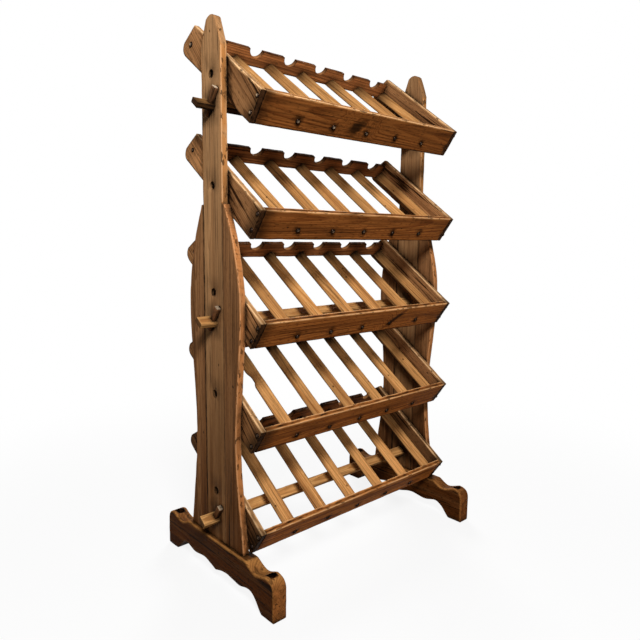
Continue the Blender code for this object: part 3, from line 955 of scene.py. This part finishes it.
def make_bar(name, start, stop, section, place, slot, node, round_end=ARRIS, **look):
    """A bar whose section gives its points as (across, square, wear, darkening) at each place along it; the
    darkening is grimy and in places painted shade.
    """
    bm, layer = start_board()
    count = max(2, round((stop - start) / POINT_SPACING))
    stations = [(start, 1), (start + round_end, 0)]
    stations += [(start + (stop - start) * k / count, 0) for k in range(1, count)]
    stations += [(stop - round_end, 0), (stop, 1)]
    rings = []
    for along, end in stations:
        points = section(along)
        middle = sum((Vector(p[:2]) for p in points), Vector((0, 0))) / len(points)
        places = []
        for point in points:
            flat = Vector(point[:2])
            flat += (middle - flat).normalized() * round_end * end
            places.append((along, flat.x, flat.y))
        rings.append(add_ring(bm, layer, places, [(p[2], end, p[3]) for p in points]))
    join_rings(bm, rings)
    bm.faces.new(rings[0])
    bm.faces.new(rings[-1])
    return finish_board(bm, name, place, slot, node, **look)


# Feet
def foot_outline():
    top, dip, crown, front, toe = spots(
        (FOOT_FLAT, FOOT_HEIGHT), (FOOT_HALF - TOE_DIP_REACH, FOOT_HEIGHT - TOE_DIP_DEPTH),
        (FOOT_HALF - TOE_CROWN_REACH, FOOT_HEIGHT - TOE_CROWN_DROP),
        (FOOT_HALF, FOOT_HEIGHT - TOE_FRONT_DROP), (FOOT_HALF, 0))
    toe_front = bend_between(crown, Vector((FOOT_HALF, crown.y)), front)
    underside = smooth_through(spots(
        (FOOT_HALF - PAD_LENGTH, 0), (FOOT_HALF - ARCH[0], ARCH[1]), BUMP, INNER_ARCH, (0, CUSP_HEIGHT)))
    middle = Vector((0, FOOT_HEIGHT))
    return mirrored([middle, *smooth_through([top, dip, crown]), *toe_front[1:], toe, *underside])


def drill(bm, holes, radius, depth):
    """Cut round holes down into the top edge of a board, and blacken their walls with painted shade."""
    cutter_bm = bmesh.new()
    for along, top in holes:
        place = Matrix.Translation((along, top, 0)) @ Matrix.Rotation(math.pi / 2, 4, "X")
        bmesh.ops.create_cone(cutter_bm, cap_ends=True, segments=DRILL_STEPS, radius1=radius,
                              radius2=radius, depth=2 * depth, matrix=place)
    scratch = []
    for source in (bm, cutter_bm):
        mesh = bpy.data.meshes.new("drill")
        source.to_mesh(mesh)
        source.free()
        scratch.append(add_object("drill", mesh))
    board, cutter = scratch
    cut = board.modifiers.new("drill", "BOOLEAN")
    cut.operation = "DIFFERENCE"
    cut.solver = "EXACT"
    cut.object = cutter
    bpy.context.view_layer.update()
    result = bmesh.new()
    drilled = board.evaluated_get(bpy.context.evaluated_depsgraph_get())
    result.from_mesh(bpy.data.meshes.new_from_object(drilled))
    for item in scratch:
        bpy.data.objects.remove(item, do_unlink=True)
    layer = result.verts.layers.float_vector["edge"]
    for vert in result.verts:
        for along, top in holes:
            inside = math.hypot(vert.co.x - along, vert.co.z) < radius * DRILL_MARGIN
            if inside and vert.co.y > top - DRILL_SIGHT * depth:
                vert[layer] = HOLE_MARK
    return result


def make_foot(name, side):
    bm, layer = start_board()
    outline = eased(foot_outline(), FOOT_CORNER)
    add_plate(bm, layer, name, outline, FOOT_THICKNESS, foot_edges(TOE_WEAR[name]), FOOT_ARRIS)
    fill_faces(bm, FOOT_THICKNESS / 2)
    bmesh.ops.recalc_face_normals(bm, faces=bm.faces)
    crown = FOOT_HEIGHT - TOE_CROWN_DROP
    reach = FOOT_HALF - TOE_CROWN_REACH
    bm = drill(bm, ((-reach, crown), (reach, crown)), TOE_HOLE_RADIUS, TOE_HOLE_DEPTH)
    place = Matrix.Translation((side * END_MIDDLE, 0, 0)) @ FOOT_AXES
    finish_board(bm, name + "_foot_board", place, "foot_pine", name + "_foot")


# Uprights and wings
def upright_outline():
    tenon = FOOT_TENON_WIDTH / 2
    top = UPRIGHT_HIGH.z
    shoulder = top - POINT_HEIGHT
    crown = top - POINT_CROWN
    middle = Vector(((UPRIGHT_EDGE + POINT_TIP / 2) / 2, (shoulder + crown) / 2))
    slope = bend_between(
        Vector((UPRIGHT_EDGE, shoulder)),
        middle + Vector((POINT_SWELL, POINT_SWELL)),
        Vector((POINT_TIP / 2, crown)))
    tip = bend_between(slope[-1], Vector((POINT_TIP / 4, top)), Vector((0, top)))
    foot = spots((tenon, UPRIGHT_LOW.z), (tenon, GLUED_SEAT), (UPRIGHT_EDGE, GLUED_SEAT))
    return [p + Vector((SETBACK, 0)) for p in mirrored([*foot, *slope, *tip[1:]])]


def wing_outline(facing):
    curve = (WING_TOP, WING_SHOULDER, WING_BULGE, WING_WAIST, (GLUED_SEAT, WING_FOOT_WIDTH))
    outer = smooth_through([Vector((UPRIGHT_EDGE + width, height)) for height, width in curve])
    edge = UPRIGHT_EDGE - GLUED_LAP
    outline = [Vector((edge, GLUED_SEAT)), Vector((edge, WING_TOP[0])), *outer]
    return [Vector((SETBACK + facing * p.x, p.y)) for p in outline]


def upright_grain(points):
    """Points given as depth and height, in the frame of a board whose grain stands upright."""
    return [Vector((p.y, -p.x)) for p in points]


def on_upright(tray, along, square):
    """Depth and height of a point of a tray's frame."""
    place = tray_frames[tray] @ Vector((0, along, square))
    return Vector((place.y, place.z))


UPRIGHT_TINTS = {"left": 0.18, "right": -0.24}
WING_TINTS = {("left", "front"): 0.02, ("left", "rear"): 0.15,
              ("right", "front"): -0.08, ("right", "rear"): -0.08}


def make_end(name, side):
    place = Matrix.Translation((side * END_MIDDLE, 0, 0)) @ UPRIGHT_AXES
    half = UPRIGHT_THICKNESS / 2
    bores = [(upright_grain([on_upright(tray, 0, 0)])[0], BOLT_HOLE_RADIUS, BOLT_HOLE_DEPTH, side * half)
             for tray in TRAYS]
    slots = []
    for tray in STRETCHER_TRAYS.values():
        gap = 2 * CLEARANCE
        corners = rectangle(-STRETCHER_WIDTH / 2 - gap, STRETCHER_WIDTH / 2 + gap,
                            -STRETCHER_THICKNESS / 2 - gap, STRETCHER_THICKNESS / 2 + gap)
        loop = [on_upright(tray, p.x - STRETCHER_FORWARD, p.y - STRETCHER_DROP) for p in corners]
        slots.append([upright_grain(loop)] * 2)
    make_plate(name + "_upright_board", upright_grain(upright_outline()), UPRIGHT_THICKNESS, place,
               "upright_pine", name + "_upright", upright_edges, bores, slots, tint=UPRIGHT_TINTS[name])
    for where, facing in (("front", -1), ("rear", 1)):
        wing = f"{name}_{where}_wing"
        make_plate(wing + "_board", upright_grain(wing_outline(facing)), UPRIGHT_THICKNESS, place,
                   "wing_pine", wing, wing_edges, tint=WING_TINTS[name, where])


# Stretchers and wedges
def wedge_section(side, spare=0.0):
    """Section of a wedge at a height on it: thinner downwards, with its inner face on the upright."""
    def section(height):
        thickness = WEDGE_THICKNESS + WEDGE_TAPER * height
        half_width = (WEDGE_WIDTH + WEDGE_TAPER * height) / 2
        corners = rectangle(-spare, thickness + spare, -half_width - spare, half_width + spare)
        return [Vector((side * p.x, p.y)) for p in corners]
    return section


def make_stretcher(name, tray):
    line = tray_frames[tray] @ Matrix.Translation((0, -STRETCHER_FORWARD, -STRETCHER_DROP))
    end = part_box(name + "_stretcher")[1][0]
    half = STRETCHER_THICKNESS / 2
    slots = []
    for side_name, side in SIDES.items():
        seat = side * (UPRIGHT_OUTER + CLEARANCE)
        section = wedge_section(side, 2 * CLEARANCE)
        slots.append([[p + Vector((seat, 0)) for p in section(height)] for height in (-half, half)])
        place = line @ Matrix.Translation((seat, 0, 0))
        make_wedge(f"{side_name}_{name}_wedge", side, place, WEDGE_TINTS[name])
    outline = rectangle(-end, end, -STRETCHER_WIDTH / 2, STRETCHER_WIDTH / 2)
    make_plate(name + "_stretcher_lath", outline, STRETCHER_THICKNESS, line @ STRETCHER_AXES,
               "stretcher_pine", name + "_stretcher", tray_edges if name == "top" else stretcher_edges,
               slots=slots, **STRETCHER_LOOKS[name])
    if name == SHOULDERED_STRETCHER:
        shoulder = UPRIGHT_INNER - CLEARANCE
        outline = rectangle(-shoulder, shoulder, -STRETCHER_WIDTH / 2, STRETCHER_WIDTH / 2)
        lift = Matrix.Translation((0, 0, half + SHOULDER_HEIGHT / 2))
        make_plate(name + "_stretcher_shoulder", outline, SHOULDER_HEIGHT, line @ lift @ STRETCHER_AXES,
                   "stretcher_pine", name + "_stretcher", stretcher_edges,
                   tint=STRETCHER_LOOKS[name]["tint"])


def make_wedge(node, side, seat, tint):
    sharp = wedge_section(side)
    drift = chance_for(node).uniform(0, WEDGE_DRIFT)

    def section(height):
        outline = rounded(sharp(height), WEDGE_ROUND)
        middle = sum(outline, Vector((0, 0))) / len(outline)
        shave = WEDGE_SHAVE * (1 + noise.noise(Vector((height * WEDGE_WAVES, drift, 0))))
        return [(*(p + (middle - p).normalized() * shave), WEDGE_WEAR, 0.0) for p in outline]

    make_bar(node + "_peg", -WEDGE_BELOW, WEDGE_ABOVE, section, seat @ WEDGE_AXES, "wedge_pine", node,
             body=node, tint=tint)


# Trays
# Front rail tints run from dark on the top tray to light on the bottom one, evening out how the lamp lights
# each tray: painted shade and painted light
RAIL_LOOKS = {
    "top": {"tint": -0.26, "knots": ((-0.035, 0.007, 0.019),), "lean": 0.7, "squeeze": 0.6},
    "second": {"tint": 0.03},
    "third": {"tint": 0.19, "knots": ((0.108, 0.010, 0.010),), "lean": 0.75, "squeeze": 0.22},
    "fourth": {"tint": 0.36},
    "bottom": {"tint": 0.50},
}
# Neck rails under another tray are darker than the top one: painted shade
NECK_TINTS = {"top": 0.16, "second": -0.10, "third": -0.05, "fourth": -0.10, "bottom": -0.10}
SLAT_TINTS = {"top": -0.03, "second": 0.0, "third": 0.0, "fourth": 0.05, "bottom": 0.15}
SIDE_TINTS = {"top": (-0.12, -0.05), "second": (0.10, 0.20), "third": (0.28, 0.0), "fourth": (0.0, 0.28),
              "bottom": (-0.38, -0.48)}
SIDE_VEIN_ENDS = {"top": 0.0, "second": 0.0}
SIDE_SLOPES = {"top": 15, "second": 11, "third": 7, "fourth": 9, "bottom": 5}

# Slats: waves along them, with their lanes in the noise and their sizes, then gaps, tints and wane
SLAT_WAVES = 22
SLAT_DRIFT = 80
LEFT_LANE, CROWN_LANE, RIGHT_LANE = 1, 2, 3
FOOT_WAVE = 0.0005
CROWN_WAVE = 0.0003
SLAT_SEAM = 0.0004
HALF_SLAT_GAP = 0.0006
SLAT_TINT_SPREAD = 0.1
WANE_RAG = 0.5
WANE_WAVES = 90

# Wane on a slat's edge: side, middle of it along the slat, half its length and its depth
WANES = {
    "third_tray_slat_3_ridge": ("right", -0.015, 0.030, 0.0085),
    "fourth_tray_slat_2_ridge": ("left", 0.022, 0.016, 0.0070),
}


def side_outline():
    front = spots((-SIDE_FRONT, -SIDE_BELOW), (-SIDE_FRONT, SIDE_ABOVE))
    rear = spots((SIDE_REAR, SIDE_END_ROUND - SIDE_BELOW), (SIDE_REAR, -SIDE_BELOW),
                 (SIDE_REAR - SIDE_END_ROUND, -SIDE_BELOW))
    return [*front, Vector((SIDE_REAR - SIDE_END_LEAN, SIDE_ABOVE)), *bend_between(*rear)]


def neck_rail_outline():
    end = TRAY_INNER - CLEARANCE
    top = []
    for bay in range(BAY_COUNT):
        middle = (bay - (BAY_COUNT - 1) / 2) * BAY_PITCH
        for step in range(NOTCH_STEPS + 1):
            turn = math.pi * step / NOTCH_STEPS
            top.append(Vector((middle - NOTCH_RADIUS * math.cos(turn),
                               NECK_RAIL_TOP - NOTCH_RADIUS * math.sin(turn))))
    left = spots((-end, -SLAT_BELOW), (-end, NECK_RAIL_TOP))
    return [*left, *top, *spots((end, NECK_RAIL_TOP), (end, -SLAT_BELOW))]


def slat_section(name, tray, left, right):
    """Ridge section of a slat, with its half widths, worn by hand along its length."""
    drift = chance_for(name + " wear").uniform(0, SLAT_DRIFT)
    waned, wane_middle, wane_reach, wane_depth = WANES.get(name, ("", 0.0, 1.0, 0.0))
    base = -SLAT_BELOW
    top = base + SLAT_HEIGHT
    edge = base + SLAT_EDGE
    ridge = SLAT_RIDGE / 2

    def wave(along, lane, size):
        return size * (1 + noise.noise(Vector((along * SLAT_WAVES, lane, drift))))

    def wane(along, side):
        if side != waned:
            return 0.0
        ragged = 1 + WANE_RAG * noise.noise(Vector((along * WANE_WAVES, drift, 0)))
        return wane_depth * ragged * math.exp(-((along - wane_middle) / wane_reach) ** 4)

    def flank(along, side, lane, half):
        """Half the section from its foot to its ridge, each point as (across, square, wear, grimy
        darkening).
        """
        crown = top - wave(along, CROWN_LANE, CROWN_WAVE)
        if not half:
            return [(SLAT_SEAM, base, 0.0, 0.6), (SLAT_SEAM, crown - 0.0006, 0.2, 0.0),
                    (SLAT_SEAM, crown, 0.25, 0.0)]
        foot = half - wave(along, lane, FOOT_WAVE) - wane(along, side)
        return [(foot - 0.0015, base, 0.0, 0.6), (foot, base + 0.0006, 0.0, 1.0),
                (foot, edge - 0.0004, 0.0, 0.8), (foot - 0.0016, edge + 0.0014, 0.1, 0.25),
                (foot * 0.72, base + 0.0068, 0.0, 0.0), (ridge + 0.0032, top - 0.0033, 0.1, 0.0),
                (ridge * 0.9, crown - 0.0006, 0.2, 0.0), (ridge * 0.45, crown, 0.25, 0.0)]

    def section(along):
        # Darker towards the rear end: soiling and a painted shadow of the tray above
        reach, strength = SLAT_SOIL_AND_SHADOW_BACK[tray]
        behind = max(0.0, 1 - (SLAT_BACK - along) / reach)
        front = min(1.0, max(0.0, 1 - (along - SLAT_FRONT) / SLAT_SOIL_FRONT[0]))
        soil = max(strength * behind, SLAT_SOIL_FRONT[1] * front)
        points = flank(along, "left", LEFT_LANE, left)
        opposite = reversed(flank(along, "right", RIGHT_LANE, right))
        points += [(-x, y, wear, grime) for x, y, wear, grime in opposite]
        return [(x, y, wear, max(grime, soil)) for x, y, wear, grime in points]

    return section


def make_slats(tray, place):
    half = SLAT_WIDTH / 2
    for number in range(1, BAY_COUNT + 2):
        middle = (number - 1 - BAY_COUNT / 2) * BAY_PITCH
        name = f"{tray}_tray_slat_{number}_ridge"
        left, right = half, half
        node = f"{tray}_tray_slat_{number}"
        if number == 1:
            left, node, middle = 0.0, tray + "_tray_left_side", middle + HALF_SLAT_GAP
        elif number == BAY_COUNT + 1:
            right, node, middle = 0.0, tray + "_tray_right_side", middle - HALF_SLAT_GAP
        elif 2 * (number - 1) == BAY_COUNT:
            node = tray + "_tray_neck_rail"
        tint = SLAT_TINTS[tray] + chance_for(name + " tint").uniform(-SLAT_TINT_SPREAD, SLAT_TINT_SPREAD)
        make_bar(name, SLAT_FRONT, SLAT_BACK, slat_section(name, tray, left, right),
                 place @ Matrix.Translation((middle, 0, 0)) @ SLAT_AXES, "slat_pine", node,
                 round_end=CLEARANCE, tint=tint)


def make_tray(tray):
    place = tray_frames[tray]
    for side_name, side in SIDES.items():
        middle = side * (TRAY_INNER + TRAY_BOARD / 2)
        make_plate(f"{tray}_tray_{side_name}_board", side_outline(), TRAY_BOARD,
                   place @ Matrix.Translation((middle, 0, 0)) @ SIDE_AXES, "side_pine",
                   f"{tray}_tray_{side_name}_side", side_edges,
                   tint=SIDE_TINTS[tray][side > 0], end_soil=True,
                   vein_end=SIDE_VEIN_ENDS.get(tray, NOWHERE) if side < 0 else NOWHERE,
                   slope=math.radians(SIDE_SLOPES[tray] if side < 0 else 0))
    end = TRAY_INNER - CLEARANCE
    make_plate(tray + "_tray_front_board", rectangle(-end, end, -SIDE_BELOW, SIDE_ABOVE), TRAY_BOARD,
               place @ Matrix.Translation((0, TRAY_BOARD / 2 - SIDE_FRONT, 0)) @ RAIL_AXES,
               "front_rail_pine", tray + "_tray_front_rail", side_edges if tray == "top" else tray_edges,
               end_soil=True, **RAIL_LOOKS[tray])
    make_plate(tray + "_tray_neck_board", neck_rail_outline(), TRAY_BOARD,
               place @ Matrix.Translation((0, NECK_RAIL_BACK + TRAY_BOARD / 2, 0)) @ RAIL_AXES,
               "neck_rail_pine", tray + "_tray_neck_rail", neck_edges, tint=NECK_TINTS[tray])
    make_slats(tray, place)
    make_nails(tray, place)


# Nails and bolts, and how far the crowns of each tray's nails are rubbed to bright metal, also a painted
# highlight
CROWN_HIGHLIGHT_WEAR = 0.6
NAIL_WEAR_AND_HIGHLIGHT = {"top": 0.8, "second": 0.2, "third": 0.15, "fourth": 0.1, "bottom": 0.1}


def add_dome(bm, layer, place, radius, height, chance, bare_and_highlit=0.0):
    """A hammered dome on local Z, with its rim just below the surface and its crown rubbed to bright metal,
    also a painted highlight.
    """
    rings = []
    for step in range(DOME_RINGS):
        rise = math.pi / 2 * (step - 1) / (DOME_RINGS - 1)
        places = []
        for k in range(DOME_STEPS):
            turn = 2 * math.pi * k / DOME_STEPS
            reach = radius * math.cos(rise) * chance.uniform(*HAMMERED_ROUND)
            spot = Vector((reach * math.cos(turn), reach * math.sin(turn), height * math.sin(rise)))
            places.append(place @ spot)
        wear = bare_and_highlit * CROWN_HIGHLIGHT_WEAR if step == DOME_RINGS - 1 else 0.0
        rings.append(add_ring(bm, layer, places, [(wear, 0.0, 0.0)] * DOME_STEPS))
    join_rings(bm, rings)
    bm.faces.new(rings[0])
    apex, = add_ring(bm, layer, [place @ Vector((0, 0, height))], [(bare_and_highlit, 0.0, 0.0)])
    for k in range(DOME_STEPS):
        bm.faces.new((rings[-1][k], rings[-1][(k + 1) % DOME_STEPS], apex))


def make_nails(tray, place):
    chance = chance_for(tray + " nails")
    crown_highlight_chance = chance_for(tray + " nail wear")
    bm, layer = start_board()

    def drive(x, y, z, outwards):
        jitter = Vector((chance.uniform(-NAIL_JITTER, NAIL_JITTER) for _ in range(3)))
        jitter -= outwards * jitter.dot(outwards)
        turn = outwards.to_track_quat("Z", "Y").to_matrix().to_4x4()
        spot = Matrix.Translation(Vector((x, y, z)) + jitter) @ turn
        radius = NAIL_RADIUS * chance.uniform(*NAIL_WIDTHS)
        height = NAIL_HEIGHT * chance.uniform(*NAIL_RISES)
        add_dome(bm, layer, spot, radius, height, chance, NAIL_WEAR_AND_HIGHLIGHT[tray] * crown_highlight_chance.uniform(0.0, 1.0))

    for number in range(1, BAY_COUNT):
        across = (number - BAY_COUNT / 2) * BAY_PITCH
        drive(across, -SIDE_FRONT, NAIL_LEVEL, -Y)
        drive(across, NECK_RAIL_BACK + TRAY_BOARD, NECK_NAIL_LEVEL, Y)
    for side in SIDES.values():
        for along, level in SIDE_NAILS:
            drive(side * (TRAY_INNER + TRAY_BOARD), along, level, side * X)
    finish_piece(bm, tray + "_tray_nails", place, nail_iron, "rack")


def make_bolts(name, side):
    chance = chance_for(name + " bolts")
    bm, layer = start_board()
    floor = side * (UPRIGHT_OUTER - BOLT_HOLE_DEPTH)
    turn = (side * X).to_track_quat("Z", "Y").to_matrix().to_4x4()
    for tray in TRAYS:
        spot = on_upright(tray, 0, 0)
        place = Matrix.Translation((floor, spot.x, spot.y)) @ turn
        add_dome(bm, layer, place, BOLT_RADIUS, NAIL_HEIGHT, chance)
    finish_piece(bm, name + "_tray_bolts", Matrix.Identity(4), bolt_iron, "rack")


tray_frames = {tray: tray_frame(tray) for tray in TRAYS}
for end_name, end_side in SIDES.items():
    make_foot(end_name, end_side)
    make_end(end_name, end_side)
    make_bolts(end_name, end_side)
for stretcher_name, stretcher_tray in STRETCHER_TRAYS.items():
    make_stretcher(stretcher_name, stretcher_tray)
for tray_name in TRAYS:
    make_tray(tray_name)


# Stage, light and camera
WHITE = (1.0, 1.0, 1.0, 1.0)
BACKDROP_SHARE = 0.86
FLOOR_SIZE = 9.0
FLOOR_DROP = 0.0005
FLOOR_BOUNCE = (0.25, 0.24, 0.22)
FLOOR_SEEN = (0.92, 0.92, 0.92)
FLOOR_FADE = (0.55, 1.6)
SKY_STRENGTH = 0.045
LIGHT_TARGET = Vector((0, 0, 0.62))
KEY_FROM = Vector((-0.47, -0.66, 0.588))
KEY_DISTANCE = 2.4
KEY_SIZE = 0.72
KEY_POWER = 58.0
BACK_FROM = Vector((0.60, 0.68, 0.42))
BACK_DISTANCE = 2.6
BACK_SIZE = 1.2
BACK_POWER = 50.0
CAMERA_PLACE = Vector((-0.9906, -1.0643, 0.7694))
CAMERA_AZIMUTH = math.radians(-42.429)
CAMERA_FALL = math.radians(7.963)
CAMERA_ROLL = math.radians(0.737)
CAMERA_LENS = 32.854
CAMERA_SENSOR = 36.0
CAMERA_SHIFT = (-0.00425, -0.00318)


def seen_by(n, kind):
    return n.value("LightPath", {}, output=f"Is {kind} Ray")


def seen_directly(n):
    """1 for rays that show the backdrop or its reflection, and 0 for light that falls on the rack."""
    return seen_by(n, "Camera").most(seen_by(n, "Glossy")).most(seen_by(n, "Transmission"))


def make_floor():
    n = Nodes(bpy.data.materials.new("studio_floor"))
    colour = n.mix(seen_by(n, "Camera"), FLOOR_BOUNCE, FLOOR_SEEN)
    matt = n.value("BsdfDiffuse", {}, colour)
    white = n.value("Emission", {}, WHITE, 1.0)
    place = n.value("TexCoord", {}, output="Object")
    away = n.value("VectorMath", {"operation": "LENGTH"}, place, output="Value")
    share = away.step(*FLOOR_FADE).line(1.0 - BACKDROP_SHARE, BACKDROP_SHARE)
    n.add("OutputMaterial", {}, n.value("MixShader", {}, seen_directly(n) * share, matt, white))
    bm = bmesh.new()
    bmesh.ops.create_grid(bm, x_segments=1, y_segments=1, size=FLOOR_SIZE)
    mesh = bpy.data.meshes.new("studio_floor")
    bm.to_mesh(mesh)
    bm.free()
    mesh.materials.append(n.owner)
    floor = add_object("studio_floor", mesh)
    floor.location.z = -FLOOR_DROP


def make_sky():
    world = bpy.data.worlds.new("studio_sky")
    n = Nodes(world)
    light = n.value("Background", {}, WHITE, SKY_STRENGTH)
    white = n.value("Background", {}, WHITE, 1.0)
    n.add("OutputWorld", {}, n.value("MixShader", {}, seen_directly(n), light, white))
    bpy.context.scene.world = world


def make_lamp(name, direction, distance, size, power):
    light = bpy.data.lights.new(name, "AREA")
    light.shape = "DISK"
    light.size = size
    light.energy = power
    lamp = add_object(name, light)
    lamp.location = LIGHT_TARGET + direction.normalized() * distance
    lamp.rotation_euler = direction.to_track_quat("Z", "Y").to_euler()
    lamp.visible_camera = False


def make_camera():
    forward = Vector((-math.sin(CAMERA_AZIMUTH) * math.cos(CAMERA_FALL),
                      math.cos(CAMERA_AZIMUTH) * math.cos(CAMERA_FALL), -math.sin(CAMERA_FALL)))
    level = Vector((math.cos(CAMERA_AZIMUTH), math.sin(CAMERA_AZIMUTH), 0))
    upward = level.cross(forward)
    right = level * math.cos(CAMERA_ROLL) + upward * math.sin(CAMERA_ROLL)
    up = upward * math.cos(CAMERA_ROLL) - level * math.sin(CAMERA_ROLL)
    lens = bpy.data.cameras.new("camera")
    lens.sensor_width = CAMERA_SENSOR
    lens.lens = CAMERA_LENS
    lens.shift_x, lens.shift_y = CAMERA_SHIFT
    camera = add_object("camera", lens)
    camera.matrix_world = Matrix.Translation(CAMERA_PLACE) @ axes(right, up, -forward)
    bpy.context.scene.camera = camera


make_floor()
make_sky()
make_lamp("key", KEY_FROM, KEY_DISTANCE, KEY_SIZE, KEY_POWER)
make_lamp("back", BACK_FROM, BACK_DISTANCE, BACK_SIZE, BACK_POWER)
make_camera()
bpy.context.scene.view_settings.view_transform = "Standard"
